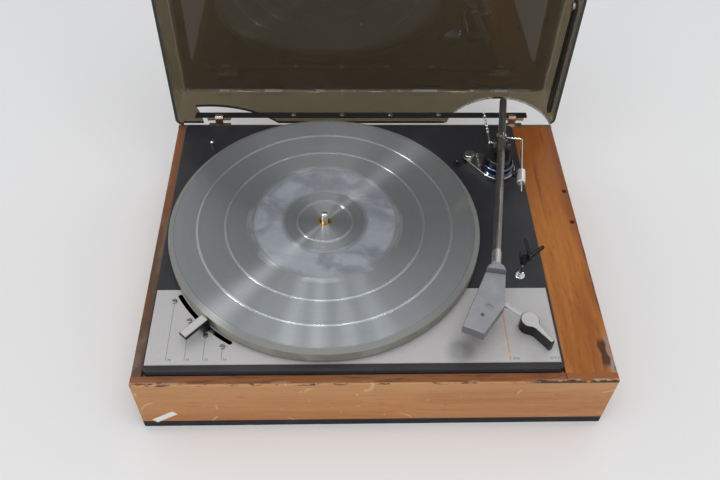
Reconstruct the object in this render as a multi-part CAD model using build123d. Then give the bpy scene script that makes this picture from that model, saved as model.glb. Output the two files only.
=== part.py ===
from build123d import *
import os
from math import atan, cos, degrees, radians, sin

os.makedirs("parts", exist_ok=True)

# Record player with an idler drive, in millimetres.
# The origin is the centre of the underside, +X right, +Y back, +Z up.

# Wooden plinth
PLINTH_W = 436.0
PLINTH_D = 346.0
BASE_T = 10.0
BOARD_H = 65.0
FRONT_BOARD_T = 9.5
REAR_BOARD_T = 7.0
LEFT_BOARD_T = 9.0
RIGHT_BOARD_T = 10.0
TOP_STRIP_W = 37.0
TOP_STRIP_T = 10.0
PARTITION_T = 10.0
BOARD_ROUND = 1.2
RAIL_W = 18.0
RAIL_H = 20.0
RAIL_DROP = 11.5
BLOCK_W = 18.0
STAY_HOLE_R = 2.5
STAY_HOLE_DEPTH = 10.0
STAY_HOLE_Y = 40.5
STAY_HOLE_SPACING = 44.7
BASE_SCREW_R = 2.0
BASE_SCREW_HEAD_R = 4.0
BASE_SCREW_LENGTH = 32.0
BASE_SCREW_SINK = 0.6
BASE_SCREW_SLOT = 1.0
GROMMET_R = 5.0
GROMMET_BORE_R = 3.0
GROMMET_FLANGE_R = 8.0
GROMMET_FLANGE_T = 2.0
GROMMET_X = (-60.0, 60.0)
GROMMET_Z = 28.0

# Pressed steel deck with its aluminium control panel
DECK_GAP = 1.0
DECK_RISE = 6.0
DECK_T = 1.5
SKIRT_H = 12.0
DECK_CORNER_R = 6.0
DECK_EDGE_R = 1.4
PANEL_T = 0.8
PANEL_FRONT_INSET = 6.3
PANEL_LEFT_INSET = 2.0
PANEL_RIGHT_INSET = 3.0
PANEL_DEPTH = 83.0
STUD_R = 2.5
STUD_LENGTH = 40.0
BUSH_R = 7.0
BUSH_MARGIN = 0.5
STUD_FROM_LEFT = 28.0
STUD_FROM_RIGHT = 30.0
NUT_R = 5.0
NUT_H = 4.0
DECK_PIN_XY = (-173.5, 127.6)
DECK_PIN_R = 1.2
DECK_PIN_HEAD_R = 2.3
DECK_PIN_H = 7.0

# Clearances shared by the moving pieces
RUN_GAP = 0.05
PASS_GAP = 0.6
FACE_GAP = 0.3

# Platter and main bearing
PLATTER_X = -46.6
PLATTER_Y = 1.0
PLATTER_R = 156.0
PLATTER_T = 14.0
PLATTER_TOP_RISE = 17.0
RIM_T = 7.0
WEB_T = 6.0
HUB_R = 19.0
HUB_H = 7.0
RIDGE_RADII = (99.4, 127.2)
RIDGE_W = 1.8
RIDGE_H = 0.5
LABEL_IN_R = 42.5
LABEL_OUT_R = 72.5
LABEL_DEPTH = 0.5
CENTRE_DISH_R = 26.5
CENTRE_DISH_DEPTH = 0.8
BEVEL_W = 5.0
BEVEL_H = 3.0
SPINDLE_R = 3.57
SPINDLE_RISE = 11.0
SHAFT_R = 5.0
HOUSING_R = 12.0
FLANGE_R = 28.0
FLANGE_T = 2.2
BEARING_DEPTH = 58.0
CAP_T = 4.0
THRUST_BALL_R = 2.5

# Speed lever, turning about the main bearing
SLOT_MARGIN = 3.0
SLOT_W = 4.4
SLOT_START = 210.9
SLOT_END = 237.5
SPEED_ANGLE = 227.3
SPEED_STOP_ANGLES = (211.8, 221.4, 229.4, 236.5)
STOP_FROM_SLOT = 7.3
STOP_SCREW_R = 1.5
STOP_HEAD_R = 2.6
STOP_HEAD_H = 1.5
STOP_SLOT_W = 0.7
LEVER_ARM_W = 13.0
LEVER_ARM_T = 2.0
LEVER_DROP = 5.0
LEVER_PAST_SLOT = 6.0
LEVER_HUB_R = 18.0
STEM_R = 1.6
KNOB_MARGIN = 2.6
KNOB_L = 26.9
KNOB_W = 9.0
KNOB_H = 3.0
KNOB_NECK_L = 8.0
KNOB_NECK_DROP = 3.0
KNOB_ROOT_L = 4.2
KNOB_FOOT_RISE = 2.8
KNOB_RISE = 12.5
KNOB_CAP_T = 0.8
KNOB_CAP_INSET = 0.7

# Idler wheel and its sliding carriage
IDLER_R = 22.0
TYRE_T = 4.0
TYRE_W = 4.0
IDLER_HUB_R = 5.0
IDLER_HUB_W = 8.0
IDLER_PLACE_R = 108.1
IDLER_IN_R = 78.0
IDLER_OUT_R = 126.0
AXLE_R = 2.0
CARRIAGE_PLATE_T = 2.0
CARRIAGE_EAR_R = 7.0
GUIDE_OFFSET_Y = 34.0
GUIDE_DROP = 18.0
GUIDE_R = 2.5
SLEEVE_R = 4.5
SLEEVE_MARGIN = 9.0
HANGER_T = 3.0
HANGER_W = 14.0

# Motor and its tapered drive shaft
CONE_SIZE = 16.5
CONE_SLOPE = 0.1091
CONE_IN_R = 68.5
CONE_OUT_R = 132.0
MOTOR_R = 20.5
MOTOR_LENGTH = 36.0
MOTOR_CAP_R = 9.0
MOTOR_CAP_T = 5.0
MOTOR_SHAFT_R = 3.0
HANGER_LEG_W = 10.0
HANGER_LEG_T = 2.0

# On and off lever
SWITCH_XY = (142.2, -118.7)
SWITCH_HUB_R = 8.6
SWITCH_LENGTH = 30.0
SWITCH_TIP_W = 4.0
SWITCH_ROOT_W = 7.6
SWITCH_BLEND_R = 8.0
SWITCH_ANGLE = -56.0
SWITCH_H = 12.0
SWITCH_RISE = 0.6
SWITCH_CAP_T = 0.8
SWITCH_CAP_INSET = 0.7
SWITCH_SHAFT_R = 3.0
SWITCH_BUSH_R = 5.0
SWITCH_CAM_R = 9.0
SWITCH_CAM_T = 3.0
SWITCH_BOX = (12.0, 25.0, 20.0)
SWITCH_SHAFT_DROP = 16.0

# Arm rest
REST_XY = (144.2, -58.3)
REST_DISC_R = 5.0
REST_DISC_T = 2.6
REST_POST_R = 1.5
REST_BOSS_R = 3.4
REST_BOSS_H = 6.0
REST_FLOOR_RISE = 29.0
REST_CHANNEL_R = 4.3
REST_WALL = 1.6
REST_LIP_H = 3.2
REST_DEPTH = 8.5
REST_TURN = -12.0
REST_LATCH_R = 1.9
REST_LATCH_TIPS = ((1.6, 14.0), (15.8, 4.3))
REST_LATCH_H = 10.0

# Tone arm
ARM_X = 141.0
ARM_Y = 88.5
ARM_RISE = 37.0
ARM_ANGLE = -9.6
TUBE_R = 4.0
TUBE_WALL = 0.7
TUBE_REAR = 76.0
TUBE_FRONT = 169.0
SLEEVE_Y0 = 149.0
SLEEVE_Y1 = 163.5
SLEEVE_T = 0.5
BASE_R = 19.5
BASE_H = 7.0
LOBE_XY = (-29.0, 17.0)
LOBE_R = 6.5
LOBE_CAP_R = 5.6
LOBE_CAP_H = 3.6
COLLAR_R = 16.6
COLLAR_H = 8.5
COLLAR_ROUND = 1.5
PILLAR_R = 9.0
PILLAR_DEPTH = 24.0
YOKE_R = 12.5
YOKE_H = 6.0
YOKE_SHAFT_R = 4.0
UPRIGHT_IN = 5.8
UPRIGHT_T = 3.2
UPRIGHT_L = 12.0
UPRIGHT_TOP = 6.0
BLOCK_HALF_W = 5.4
BLOCK_L = 11.0
BLOCK_H = 11.0
TRUNNION_R = 1.2
HEADSHELL_H = 10.0
HEADSHELL_TOP = -1.0
HEADSHELL_WALL = 1.2
HEADSHELL_BACK = 172.8
HEADSHELL_BACK_W = 18.6
HEADSHELL_KINK = 209.3
HEADSHELL_FRONT = 242.0
HEADSHELL_OFFSET = -17.2
HEADSHELL_FRONT_W = 20.2
HEADSHELL_TURN = 16.4
HEADSHELL_DISH = (-5.0, -213.8)
HEADSHELL_DISH_R = 4.0
NECK_R = 9.0
NECK_RISE = 1.2
NECK_ROUND = 3.0
CARTRIDGE = (13.0, 24.0, 11.0)
CARTRIDGE_Y = 221.0
STYLUS_DROP = 17.5
STYLUS_R = 1.2
STYLUS_TIP_R = 0.2
HOLDER_W = 4.0
HOLDER_L = 8.0
HOLDER_SETBACK = 5.4
FINGER_W = 4.0
FINGER_T = 1.2
FINGER_REACH = 17.5
FINGER_SWEEP = -32.0
RAIL_OUT = 21.5
RAIL_CROSS_Y = 14.5
RAIL_TIP_Y = 65.0
RAIL_R = 1.1
CLAMP_W = 5.0
CLAMP_WALL = 1.4
WEIGHT_R = 4.3
WEIGHT_LENGTH = 18.0
WEIGHT_Y = 43.5
THUMB_R = 3.4
THUMB_L = 4.6
THUMB_STEM_R = 1.2
THUMB_BITE = 2.0
THUMB_LEAD = 5.5
NOTCH_ROD_R = 0.9
NOTCH_R = 1.5
NOTCH_COUNT = 7
NOTCH_FIRST = 0.35
NOTCH_START = (-12.5, 4.0)
NOTCH_END = (-20.6, 51.0)
BIAS_POST_XY = (99.3, 99.5)
BIAS_POST_R = 2.6
BIAS_POST_H = 6.5

# Smoked cover, hinges and stay
LID_T = 3.0
LID_H = 62.0
LID_GAP = 0.3
LID_CORNER_R = 8.0
LID_CREASE_R = 7.0
LID_OPEN = 91.0
HINGE_RISE = 11.0
HINGE_X = 170.0
KNUCKLE_R = 3.3
KNUCKLE_L = 8.4
PIN_R = 1.5
STRIP_X0 = -197.0
STRIP_X1 = 187.0
STRIP_T = 1.5
STRIP_DOWN = 2.0
STRIP_UP = 6.0
HINGE_FOOT_T = 2.0
RIVET_R = 1.5
RIVET_HEAD_R = 2.6
RIVET_HEAD_T = 0.8
RIVET_UP = 2.0
RIVET_X = (-84.0, -28.0, 28.0, 84.0)
REAR_RELIEF = 3.0
REAR_RELIEF_X = -209.5
LEFT_CUT_OUT = (-200.0, -98.0, 32.0)
LEFT_CUT_FOOT = 14.0
RIGHT_CUT_OUT = (92.0, 212.0, 46.7)
RIGHT_CUT_SHARES = ((0.26, 0.67, 0.933), (0.8, 1.0, 0.52))
STAY_PIVOT_FORWARD = 147.0
STAY_PIVOT_UP = 14.3
STAY_W = 12.0
STAY_T = 2.4
STAY_LENGTH = 135.5
STAY_WASHER = 0.8
STAY_SCREW_R = 2.0
STAY_HEAD_R = 4.4
STAY_HEAD_T = 2.2
STAY_HEAD_ROUND = 1.2

# Heights and places that follow from the sizes above
PLINTH_TOP = BASE_T + BOARD_H
DECK_TOP = PLINTH_TOP + DECK_RISE
DECK_UNDER = DECK_TOP - DECK_T
SKIRT_BOTTOM = DECK_TOP - SKIRT_H
PANEL_TOP = DECK_TOP + PANEL_T
HALF_W = PLINTH_W / 2
HALF_D = PLINTH_D / 2
WELL_X0 = -HALF_W + LEFT_BOARD_T
WELL_X1 = HALF_W - RIGHT_BOARD_T - TOP_STRIP_W
WELL_Y0 = -HALF_D + FRONT_BOARD_T
WELL_Y1 = HALF_D - REAR_BOARD_T
DECK_X0 = WELL_X0 + DECK_GAP
DECK_X1 = WELL_X1 - DECK_GAP
DECK_Y0 = WELL_Y0 + DECK_GAP
DECK_Y1 = WELL_Y1 - DECK_GAP
RAIL_TOP = DECK_UNDER - RAIL_DROP
FRONT_RAIL_Y = WELL_Y0 + RAIL_W / 2
REAR_RAIL_Y = WELL_Y1 - RAIL_W / 2
STUD_INSET = DECK_T + BUSH_R + BUSH_MARGIN
STUD_X = (DECK_X0 + STUD_FROM_LEFT, DECK_X1 - STUD_FROM_RIGHT)
STUD_Y = (DECK_Y0 + STUD_INSET, DECK_Y1 - STUD_INSET)
PLATTER_TOP = DECK_TOP + PLATTER_TOP_RISE
FIELD_TOP = PLATTER_TOP - RIDGE_H
WEB_UNDER = FIELD_TOP - WEB_T
HUB_UNDER = WEB_UNDER - HUB_H
SPINDLE_TOP = PLATTER_TOP + SPINDLE_RISE
BEARING_BOTTOM = DECK_TOP - BEARING_DEPTH
LEVER_TOP = DECK_UNDER - LEVER_DROP + LEVER_ARM_T
SLOT_R = PLATTER_R + SLOT_MARGIN
SPEED_STOP_R = SLOT_R + STOP_FROM_SLOT
LEVER_TIP_R = SLOT_R + LEVER_PAST_SLOT
KNOB_IN_R = PLATTER_R + KNOB_MARGIN
KNOB_OUT_R = KNOB_IN_R + KNOB_L
KNOB_UNDER = PANEL_TOP + KNOB_RISE
KNOB_TOP = KNOB_UNDER + KNOB_H
IDLER_Z = WEB_UNDER - FACE_GAP - IDLER_R
IDLER_X = PLATTER_X - IDLER_PLACE_R
GUIDE_Y = PLATTER_Y + GUIDE_OFFSET_Y
GUIDE_Z = IDLER_Z - GUIDE_DROP
CONE_LINE_Z = IDLER_Z - IDLER_R - FACE_GAP
CONE_TILT = degrees(atan(CONE_SLOPE))
ARM_Z = DECK_TOP + ARM_RISE
BASE_TOP = DECK_TOP + BASE_H
COLLAR_TOP = BASE_TOP + COLLAR_H
YOKE_BOTTOM = COLLAR_TOP + FACE_GAP
YOKE_TOP = YOKE_BOTTOM + YOKE_H
REST_FLOOR_Z = DECK_TOP + REST_FLOOR_RISE
LID_BOTTOM = PLINTH_TOP + LID_GAP
HINGE_Y = HALF_D - LID_T / 2
HINGE_Z = PLINTH_TOP + HINGE_RISE
STAY_X1 = HALF_W - LID_T - STAY_WASHER
STAY_X0 = STAY_X1 - STAY_T

ARM_FRAME = Pos(ARM_X, ARM_Y, ARM_Z) * Rot(0, 0, ARM_ANGLE)


def slab(x0, x1, y0, y1, z0, z1):
    """Box between two corners."""
    return Pos((x0 + x1) / 2, (y0 + y1) / 2, (z0 + z1) / 2) * Box(x1 - x0, y1 - y0, z1 - z0)


def upright(x, y, z0, z1, r):
    """Vertical round bar."""
    return Pos(x, y, (z0 + z1) / 2) * Cylinder(r, z1 - z0)


def tube_up(x, y, z0, z1, r_out, r_in):
    """Vertical tube."""
    return upright(x, y, z0, z1, r_out) - upright(x, y, z0 - 1, z1 + 1, r_in)


def along_x(x0, x1, y, z, r):
    """Round bar along X."""
    return Pos((x0 + x1) / 2, y, z) * Rot(0, 90, 0) * Cylinder(r, x1 - x0)


def along_y(x, y0, y1, z, r):
    """Round bar along Y."""
    return Pos(x, (y0 + y1) / 2, z) * Rot(90, 0, 0) * Cylinder(r, y1 - y0)


def bar_between(p, q, r):
    """Round bar from one point to another."""
    path = Line(p, q)
    return sweep(Plane(origin=p, z_dir=path % 0) * Circle(r), path=path)


def about_platter(r, angle):
    """Point at a radius and an angle about the platter's axis."""
    return (PLATTER_X + r * cos(radians(angle)), PLATTER_Y + r * sin(radians(angle)))


def save(name, shape):
    """Write one sub-part."""
    export_step(shape, f"parts/{name}.step")


def slot_arc(width, z0, z1):
    """Cutter for the curved slot beside the platter."""
    arc = CenterArc((PLATTER_X, PLATTER_Y), SLOT_R, SLOT_START, SLOT_END - SLOT_START)
    return Pos(0, 0, z0) * extrude(SlotArc(arc, width), z1 - z0)


def stop_points():
    """Centres of the four speed stop screws."""
    return [about_platter(SPEED_STOP_R, a) for a in SPEED_STOP_ANGLES]


def stud_points():
    """Centres of the studs that hold the deck."""
    return [(x, y) for x in STUD_X for y in STUD_Y]


def block_points():
    """Centres of the glue blocks in the plinth's corners."""
    half = BLOCK_W / 2
    xs = (WELL_X0 + half, HALF_W - RIGHT_BOARD_T - half)
    ys = (WELL_Y0 + half, WELL_Y1 - half)
    return [(x, y) for x in xs for y in ys]


def front_board():
    board = slab(-HALF_W, HALF_W, -HALF_D, WELL_Y0, BASE_T, PLINTH_TOP)
    outer = board.edges().filter_by(Axis.X).sort_by(Axis.Z)[-2:].sort_by(Axis.Y)[0]
    corners = board.edges().filter_by(Axis.Z).sort_by(Axis.Y)[:2]
    return fillet([outer] + list(corners), BOARD_ROUND)


def rear_board():
    board = slab(-HALF_W, HALF_W, WELL_Y1, HALF_D, BASE_T, PLINTH_TOP)
    outer = board.edges().filter_by(Axis.X).sort_by(Axis.Z)[-2:].sort_by(Axis.Y)[-1]
    corners = board.edges().filter_by(Axis.Z).sort_by(Axis.Y)[-2:]
    board = fillet([outer] + list(corners), BOARD_ROUND)
    for x in GROMMET_X:
        board -= along_y(x, WELL_Y1 - 1, HALF_D + 1, GROMMET_Z, GROMMET_R)
    return board


def left_board():
    board = slab(-HALF_W, WELL_X0, WELL_Y0, WELL_Y1, BASE_T, PLINTH_TOP)
    outer = board.edges().filter_by(Axis.Y).sort_by(Axis.Z)[-2:].sort_by(Axis.X)[0]
    return fillet(outer, BOARD_ROUND)


def stay_hole_points():
    """Centres of the two open screw holes in the right board."""
    x = HALF_W - RIGHT_BOARD_T / 2
    return [(x, STAY_HOLE_Y + s * STAY_HOLE_SPACING / 2) for s in (-1, 1)]


def right_board():
    board = slab(HALF_W - RIGHT_BOARD_T, HALF_W, WELL_Y0, WELL_Y1, BASE_T, PLINTH_TOP)
    outer = board.edges().filter_by(Axis.Y).sort_by(Axis.Z)[-2:].sort_by(Axis.X)[-1]
    board = fillet(outer, BOARD_ROUND)
    for x, y in stay_hole_points():
        board -= upright(x, y, PLINTH_TOP - STAY_HOLE_DEPTH, PLINTH_TOP + 1, STAY_HOLE_R)
    return board


def side_ledge():
    """Top strip right of the deck and the partition that carries it."""
    strip = slab(WELL_X1, WELL_X1 + TOP_STRIP_W, WELL_Y0, WELL_Y1,
                 PLINTH_TOP - TOP_STRIP_T, PLINTH_TOP)
    return strip + slab(WELL_X1, WELL_X1 + PARTITION_T, WELL_Y0, WELL_Y1,
                        BASE_T, PLINTH_TOP - TOP_STRIP_T)


def support_rails():
    rails = []
    for y, stud_y in zip((FRONT_RAIL_Y, REAR_RAIL_Y), STUD_Y):
        rail = slab(WELL_X0, WELL_X1, y - RAIL_W / 2, y + RAIL_W / 2, RAIL_TOP - RAIL_H, RAIL_TOP)
        for x in STUD_X:
            rail -= upright(x, stud_y, RAIL_TOP - RAIL_H - 1, RAIL_TOP + 1, STUD_R + PASS_GAP)
        rails.append(rail)
    return Compound(children=rails)


def corner_blocks():
    blocks = []
    for x, y in block_points():
        half = BLOCK_W / 2
        block = slab(x - half, x + half, y - half, y + half, BASE_T, RAIL_TOP - RAIL_H)
        blocks.append(block - upright(x, y, BASE_T - 1, BASE_SCREW_LENGTH + 1, BASE_SCREW_R))
    return Compound(children=blocks)


def base_board():
    board = slab(-HALF_W, HALF_W, -HALF_D, HALF_D, 0, BASE_T)
    board = fillet(board.edges().filter_by(Axis.Z), BOARD_ROUND)
    for x, y in block_points():
        board -= upright(x, y, -1, BASE_T + 1, BASE_SCREW_R)
        board -= screw_head(x, y)
    return board


def screw_head(x, y):
    """Countersunk head of a base screw, sunk a little below the board."""
    depth = BASE_SCREW_HEAD_R - BASE_SCREW_R
    cone = Pos(x, y, BASE_SCREW_SINK + depth / 2) * Cone(BASE_SCREW_HEAD_R, BASE_SCREW_R, depth)
    return cone + upright(x, y, 0, BASE_SCREW_SINK, BASE_SCREW_HEAD_R)


def base_screws():
    screws = []
    for x, y in block_points():
        screw = screw_head(x, y) + upright(x, y, BASE_SCREW_SINK, BASE_SCREW_LENGTH, BASE_SCREW_R)
        screw -= upright(x, y, -1, BASE_SCREW_SINK, BASE_SCREW_HEAD_R + 1)
        slot = slab(x - BASE_SCREW_HEAD_R, x + BASE_SCREW_HEAD_R,
                    y - BASE_SCREW_SLOT / 2, y + BASE_SCREW_SLOT / 2,
                    BASE_SCREW_SINK, BASE_SCREW_SINK + BASE_SCREW_SLOT)
        screws.append(screw - slot)
    return Compound(children=screws)


def cord_grommets():
    grommets = []
    for x in GROMMET_X:
        body = along_y(x, WELL_Y1 - GROMMET_FLANGE_T, HALF_D, GROMMET_Z, GROMMET_R)
        body += along_y(x, WELL_Y1 - GROMMET_FLANGE_T, WELL_Y1, GROMMET_Z, GROMMET_FLANGE_R)
        bore = along_y(x, WELL_Y1 - GROMMET_FLANGE_T - 1, HALF_D + 1, GROMMET_Z, GROMMET_BORE_R)
        grommets.append(body - bore)
    return Compound(children=grommets)


def deck_openings(z0, z1):
    """Everything that passes down through the deck."""
    cuts = upright(PLATTER_X, PLATTER_Y, z0, z1, HOUSING_R)
    cuts += slab(PLATTER_X - IDLER_OUT_R - IDLER_HUB_W, PLATTER_X - IDLER_IN_R + IDLER_HUB_W,
                 PLATTER_Y - IDLER_R, PLATTER_Y + IDLER_R, z0, z1)
    cuts += slot_arc(SLOT_W, z0, z1)
    cuts += upright(SWITCH_XY[0], SWITCH_XY[1], z0, z1, SWITCH_BUSH_R)
    cuts += upright(REST_XY[0], REST_XY[1], z0, z1, REST_POST_R)
    cuts += upright(ARM_X, ARM_Y, z0, z1, PILLAR_R)
    for x, y in stop_points():
        cuts += upright(x, y, z0, z1, STOP_SCREW_R)
    return cuts


def deck_plate():
    w, d = DECK_X1 - DECK_X0, DECK_Y1 - DECK_Y0
    centre = Pos((DECK_X0 + DECK_X1) / 2, (DECK_Y0 + DECK_Y1) / 2, SKIRT_BOTTOM)
    pan = centre * extrude(RectangleRounded(w, d, DECK_CORNER_R), SKIRT_H)
    pan = fillet(pan.faces().sort_by(Axis.Z)[-1].edges(), DECK_EDGE_R)
    hollow = RectangleRounded(w - 2 * DECK_T, d - 2 * DECK_T, DECK_CORNER_R - DECK_T)
    pan -= centre * Pos(0, 0, -1) * extrude(hollow, SKIRT_H - DECK_T + 1)
    return pan - deck_openings(DECK_UNDER - 1, DECK_TOP + 1)


def control_panel():
    x0, x1 = DECK_X0 + PANEL_LEFT_INSET, DECK_X1 - PANEL_RIGHT_INSET
    y0 = DECK_Y0 + PANEL_FRONT_INSET
    sheet = slab(x0, x1, y0, y0 + PANEL_DEPTH, DECK_TOP, PANEL_TOP)
    sheet -= slot_arc(SLOT_W, DECK_TOP - 1, PANEL_TOP + 1)
    sheet -= upright(SWITCH_XY[0], SWITCH_XY[1], DECK_TOP - 1, PANEL_TOP + 1, SWITCH_BUSH_R)
    for x, y in stop_points():
        sheet -= upright(x, y, DECK_TOP - 1, PANEL_TOP + 1, STOP_SCREW_R)
    return sheet


def speed_stop_screws():
    screws = []
    for x, y in stop_points():
        screw = upright(x, y, LEVER_TOP + FACE_GAP, PANEL_TOP, STOP_SCREW_R)
        head = upright(x, y, PANEL_TOP, PANEL_TOP + STOP_HEAD_H, STOP_HEAD_R)
        head = fillet(head.edges().sort_by(Axis.Z)[-1], STOP_HEAD_H / 2)
        slot = slab(x - STOP_HEAD_R, x + STOP_HEAD_R, y - STOP_SLOT_W / 2, y + STOP_SLOT_W / 2,
                    PANEL_TOP + STOP_HEAD_H / 2, PANEL_TOP + STOP_HEAD_H + 1)
        screws.append(screw + head - slot)
    return Compound(children=screws)


def deck_studs():
    """Studs under the deck, each with its hexagon nut below the rail."""
    studs = []
    for x, y in stud_points():
        top = RAIL_TOP - RAIL_H
        stud = upright(x, y, DECK_UNDER - STUD_LENGTH, DECK_UNDER, STUD_R)
        studs.append(stud + Pos(x, y, top - NUT_H) * extrude(RegularPolygon(NUT_R, 6), NUT_H))
    return Compound(children=studs)


def rubber_bushes():
    return Compound(children=[tube_up(x, y, RAIL_TOP, DECK_UNDER, BUSH_R, STUD_R)
                              for x, y in stud_points()])


def deck_pin():
    x, y = DECK_PIN_XY
    pin = upright(x, y, DECK_TOP, DECK_TOP + DECK_PIN_H, DECK_PIN_R)
    return pin + Pos(x, y, DECK_TOP + DECK_PIN_H) * Sphere(DECK_PIN_HEAD_R)


def bearing_housing():
    housing = upright(PLATTER_X, PLATTER_Y, BEARING_BOTTOM, DECK_TOP, HOUSING_R)
    housing += upright(PLATTER_X, PLATTER_Y, DECK_TOP, DECK_TOP + FLANGE_T, FLANGE_R)
    floor = BEARING_BOTTOM + CAP_T
    housing -= upright(PLATTER_X, PLATTER_Y, floor, DECK_TOP + FLANGE_T + 1, SHAFT_R + RUN_GAP)
    return housing


def thrust_ball():
    return Pos(PLATTER_X, PLATTER_Y, BEARING_BOTTOM + CAP_T + THRUST_BALL_R) * Sphere(THRUST_BALL_R)


def spindle():
    """Steel shaft whose shoulder ends in the platter's dish, with the record peg above."""
    foot = BEARING_BOTTOM + CAP_T + 2 * THRUST_BALL_R
    shoulder = FIELD_TOP - CENTRE_DISH_DEPTH
    shaft = upright(PLATTER_X, PLATTER_Y, foot, shoulder, SHAFT_R)
    peg = upright(PLATTER_X, PLATTER_Y, shoulder, SPINDLE_TOP, SPINDLE_R)
    return shaft + fillet(peg.edges().sort_by(Axis.Z)[-1], SPINDLE_R * 0.8)


def platter():
    """Turned platter: rim, web, hub, ridges and the recessed middle."""
    r = PLATTER_R
    side_top = FIELD_TOP - BEVEL_H
    under = PLATTER_TOP - PLATTER_T
    outline = Polyline(
        (SHAFT_R, FIELD_TOP - CENTRE_DISH_DEPTH),
        (CENTRE_DISH_R, FIELD_TOP - CENTRE_DISH_DEPTH),
        (CENTRE_DISH_R, PLATTER_TOP),
        (CENTRE_DISH_R + RIDGE_W, PLATTER_TOP),
        (CENTRE_DISH_R + RIDGE_W, FIELD_TOP),
        (LABEL_IN_R, FIELD_TOP),
        (LABEL_IN_R, FIELD_TOP - LABEL_DEPTH),
        (LABEL_OUT_R, FIELD_TOP - LABEL_DEPTH),
        (LABEL_OUT_R, FIELD_TOP),
        (r - BEVEL_W, FIELD_TOP),
        (r, side_top),
        (r, under),
        (r - RIM_T, under),
        (r - RIM_T, WEB_UNDER),
        (HUB_R, WEB_UNDER),
        (HUB_R, HUB_UNDER),
        (SHAFT_R, HUB_UNDER),
        close=True,
    )
    disc = revolve(make_face(Plane.XZ * outline), Axis.Z)
    for ridge_r in RIDGE_RADII:
        ridge = Cylinder(ridge_r + RIDGE_W / 2, RIDGE_H) - Cylinder(ridge_r - RIDGE_W / 2, RIDGE_H)
        disc += Pos(0, 0, FIELD_TOP + RIDGE_H / 2) * ridge
    return Pos(PLATTER_X, PLATTER_Y, 0) * disc


def speed_lever_arm():
    """Flat arm that swings about the bearing housing and carries the stem."""
    turn = Pos(PLATTER_X, PLATTER_Y, 0) * Rot(0, 0, SPEED_ANGLE)
    z0 = LEVER_TOP - LEVER_ARM_T
    arm = slab(0, LEVER_TIP_R - LEVER_ARM_W / 2, -LEVER_ARM_W / 2, LEVER_ARM_W / 2, z0, LEVER_TOP)
    arm += upright(LEVER_TIP_R - LEVER_ARM_W / 2, 0, z0, LEVER_TOP, LEVER_ARM_W / 2)
    arm += upright(0, 0, z0, LEVER_TOP, LEVER_HUB_R)
    arm -= upright(0, 0, z0 - 1, LEVER_TOP + 1, HOUSING_R + RUN_GAP)
    arm += upright(SLOT_R, 0, LEVER_TOP, KNOB_UNDER, STEM_R)
    return turn * arm


def retaining_ring():
    """Ring under the speed lever's hub that keeps it up."""
    z1 = LEVER_TOP - LEVER_ARM_T
    return tube_up(PLATTER_X, PLATTER_Y, z1 - 2, z1, LEVER_HUB_R - 2, HOUSING_R)


def speed_knob():
    """Thin plate on a neck that passes over the stop screws, bored for the stem."""
    turn = Pos(PLATTER_X, PLATTER_Y, 0) * Rot(0, 0, SPEED_ANGLE)
    foot_x = KNOB_IN_R + KNOB_ROOT_L
    foot_z = PANEL_TOP + KNOB_FOOT_RISE
    neck_x = KNOB_IN_R + KNOB_NECK_L
    neck_z = KNOB_UNDER - KNOB_NECK_DROP
    side = make_face(Plane.XZ * Polyline(
        (KNOB_IN_R, PANEL_TOP + FACE_GAP),
        (foot_x, PANEL_TOP + FACE_GAP),
        (foot_x, foot_z),
        (neck_x, foot_z),
        (neck_x, neck_z),
        (neck_x + KNOB_NECK_DROP, KNOB_UNDER),
        (KNOB_OUT_R, KNOB_UNDER),
        (KNOB_OUT_R, KNOB_TOP),
        (KNOB_IN_R, KNOB_TOP),
        close=True))
    body = extrude(side, KNOB_W / 2, both=True)
    return turn * (body - upright(SLOT_R, 0, PANEL_TOP, KNOB_UNDER, STEM_R))


def speed_knob_cap():
    turn = Pos(PLATTER_X, PLATTER_Y, 0) * Rot(0, 0, SPEED_ANGLE)
    inset = KNOB_CAP_INSET
    return turn * slab(KNOB_IN_R + inset, KNOB_OUT_R - inset,
                       -KNOB_W / 2 + inset, KNOB_W / 2 - inset, KNOB_TOP, KNOB_TOP + KNOB_CAP_T)


def idler_wheel():
    half = TYRE_W / 2
    x = IDLER_X
    disc = along_x(x - half, x + half, PLATTER_Y, IDLER_Z, IDLER_R - TYRE_T)
    web_gap = half / 2
    recess_out = IDLER_R - TYRE_T - TYRE_T
    for side in (-1, 1):
        face = x + side * half
        lo, hi = sorted((face - side * web_gap, face + side))
        recess = along_x(lo, hi, PLATTER_Y, IDLER_Z, recess_out)
        disc -= recess - along_x(lo, hi, PLATTER_Y, IDLER_Z, IDLER_HUB_R)
    hub = along_x(x - IDLER_HUB_W / 2, x + IDLER_HUB_W / 2, PLATTER_Y, IDLER_Z, IDLER_HUB_R)
    bore = along_x(x - IDLER_HUB_W, x + IDLER_HUB_W, PLATTER_Y, IDLER_Z, AXLE_R + RUN_GAP)
    return disc + hub - bore


def idler_tyre():
    half = TYRE_W / 2
    tyre = along_x(IDLER_X - half, IDLER_X + half, PLATTER_Y, IDLER_Z, IDLER_R)
    tyre = fillet(tyre.edges().filter_by(GeomType.CIRCLE), half / 4)
    return tyre - along_x(IDLER_X - half - 1, IDLER_X + half + 1, PLATTER_Y, IDLER_Z,
                          IDLER_R - TYRE_T)


def carriage_plate_x():
    """Inner faces of the carriage's two side plates."""
    gap = IDLER_HUB_W / 2 + FACE_GAP
    return (IDLER_X - gap - CARRIAGE_PLATE_T, IDLER_X + gap)


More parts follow.
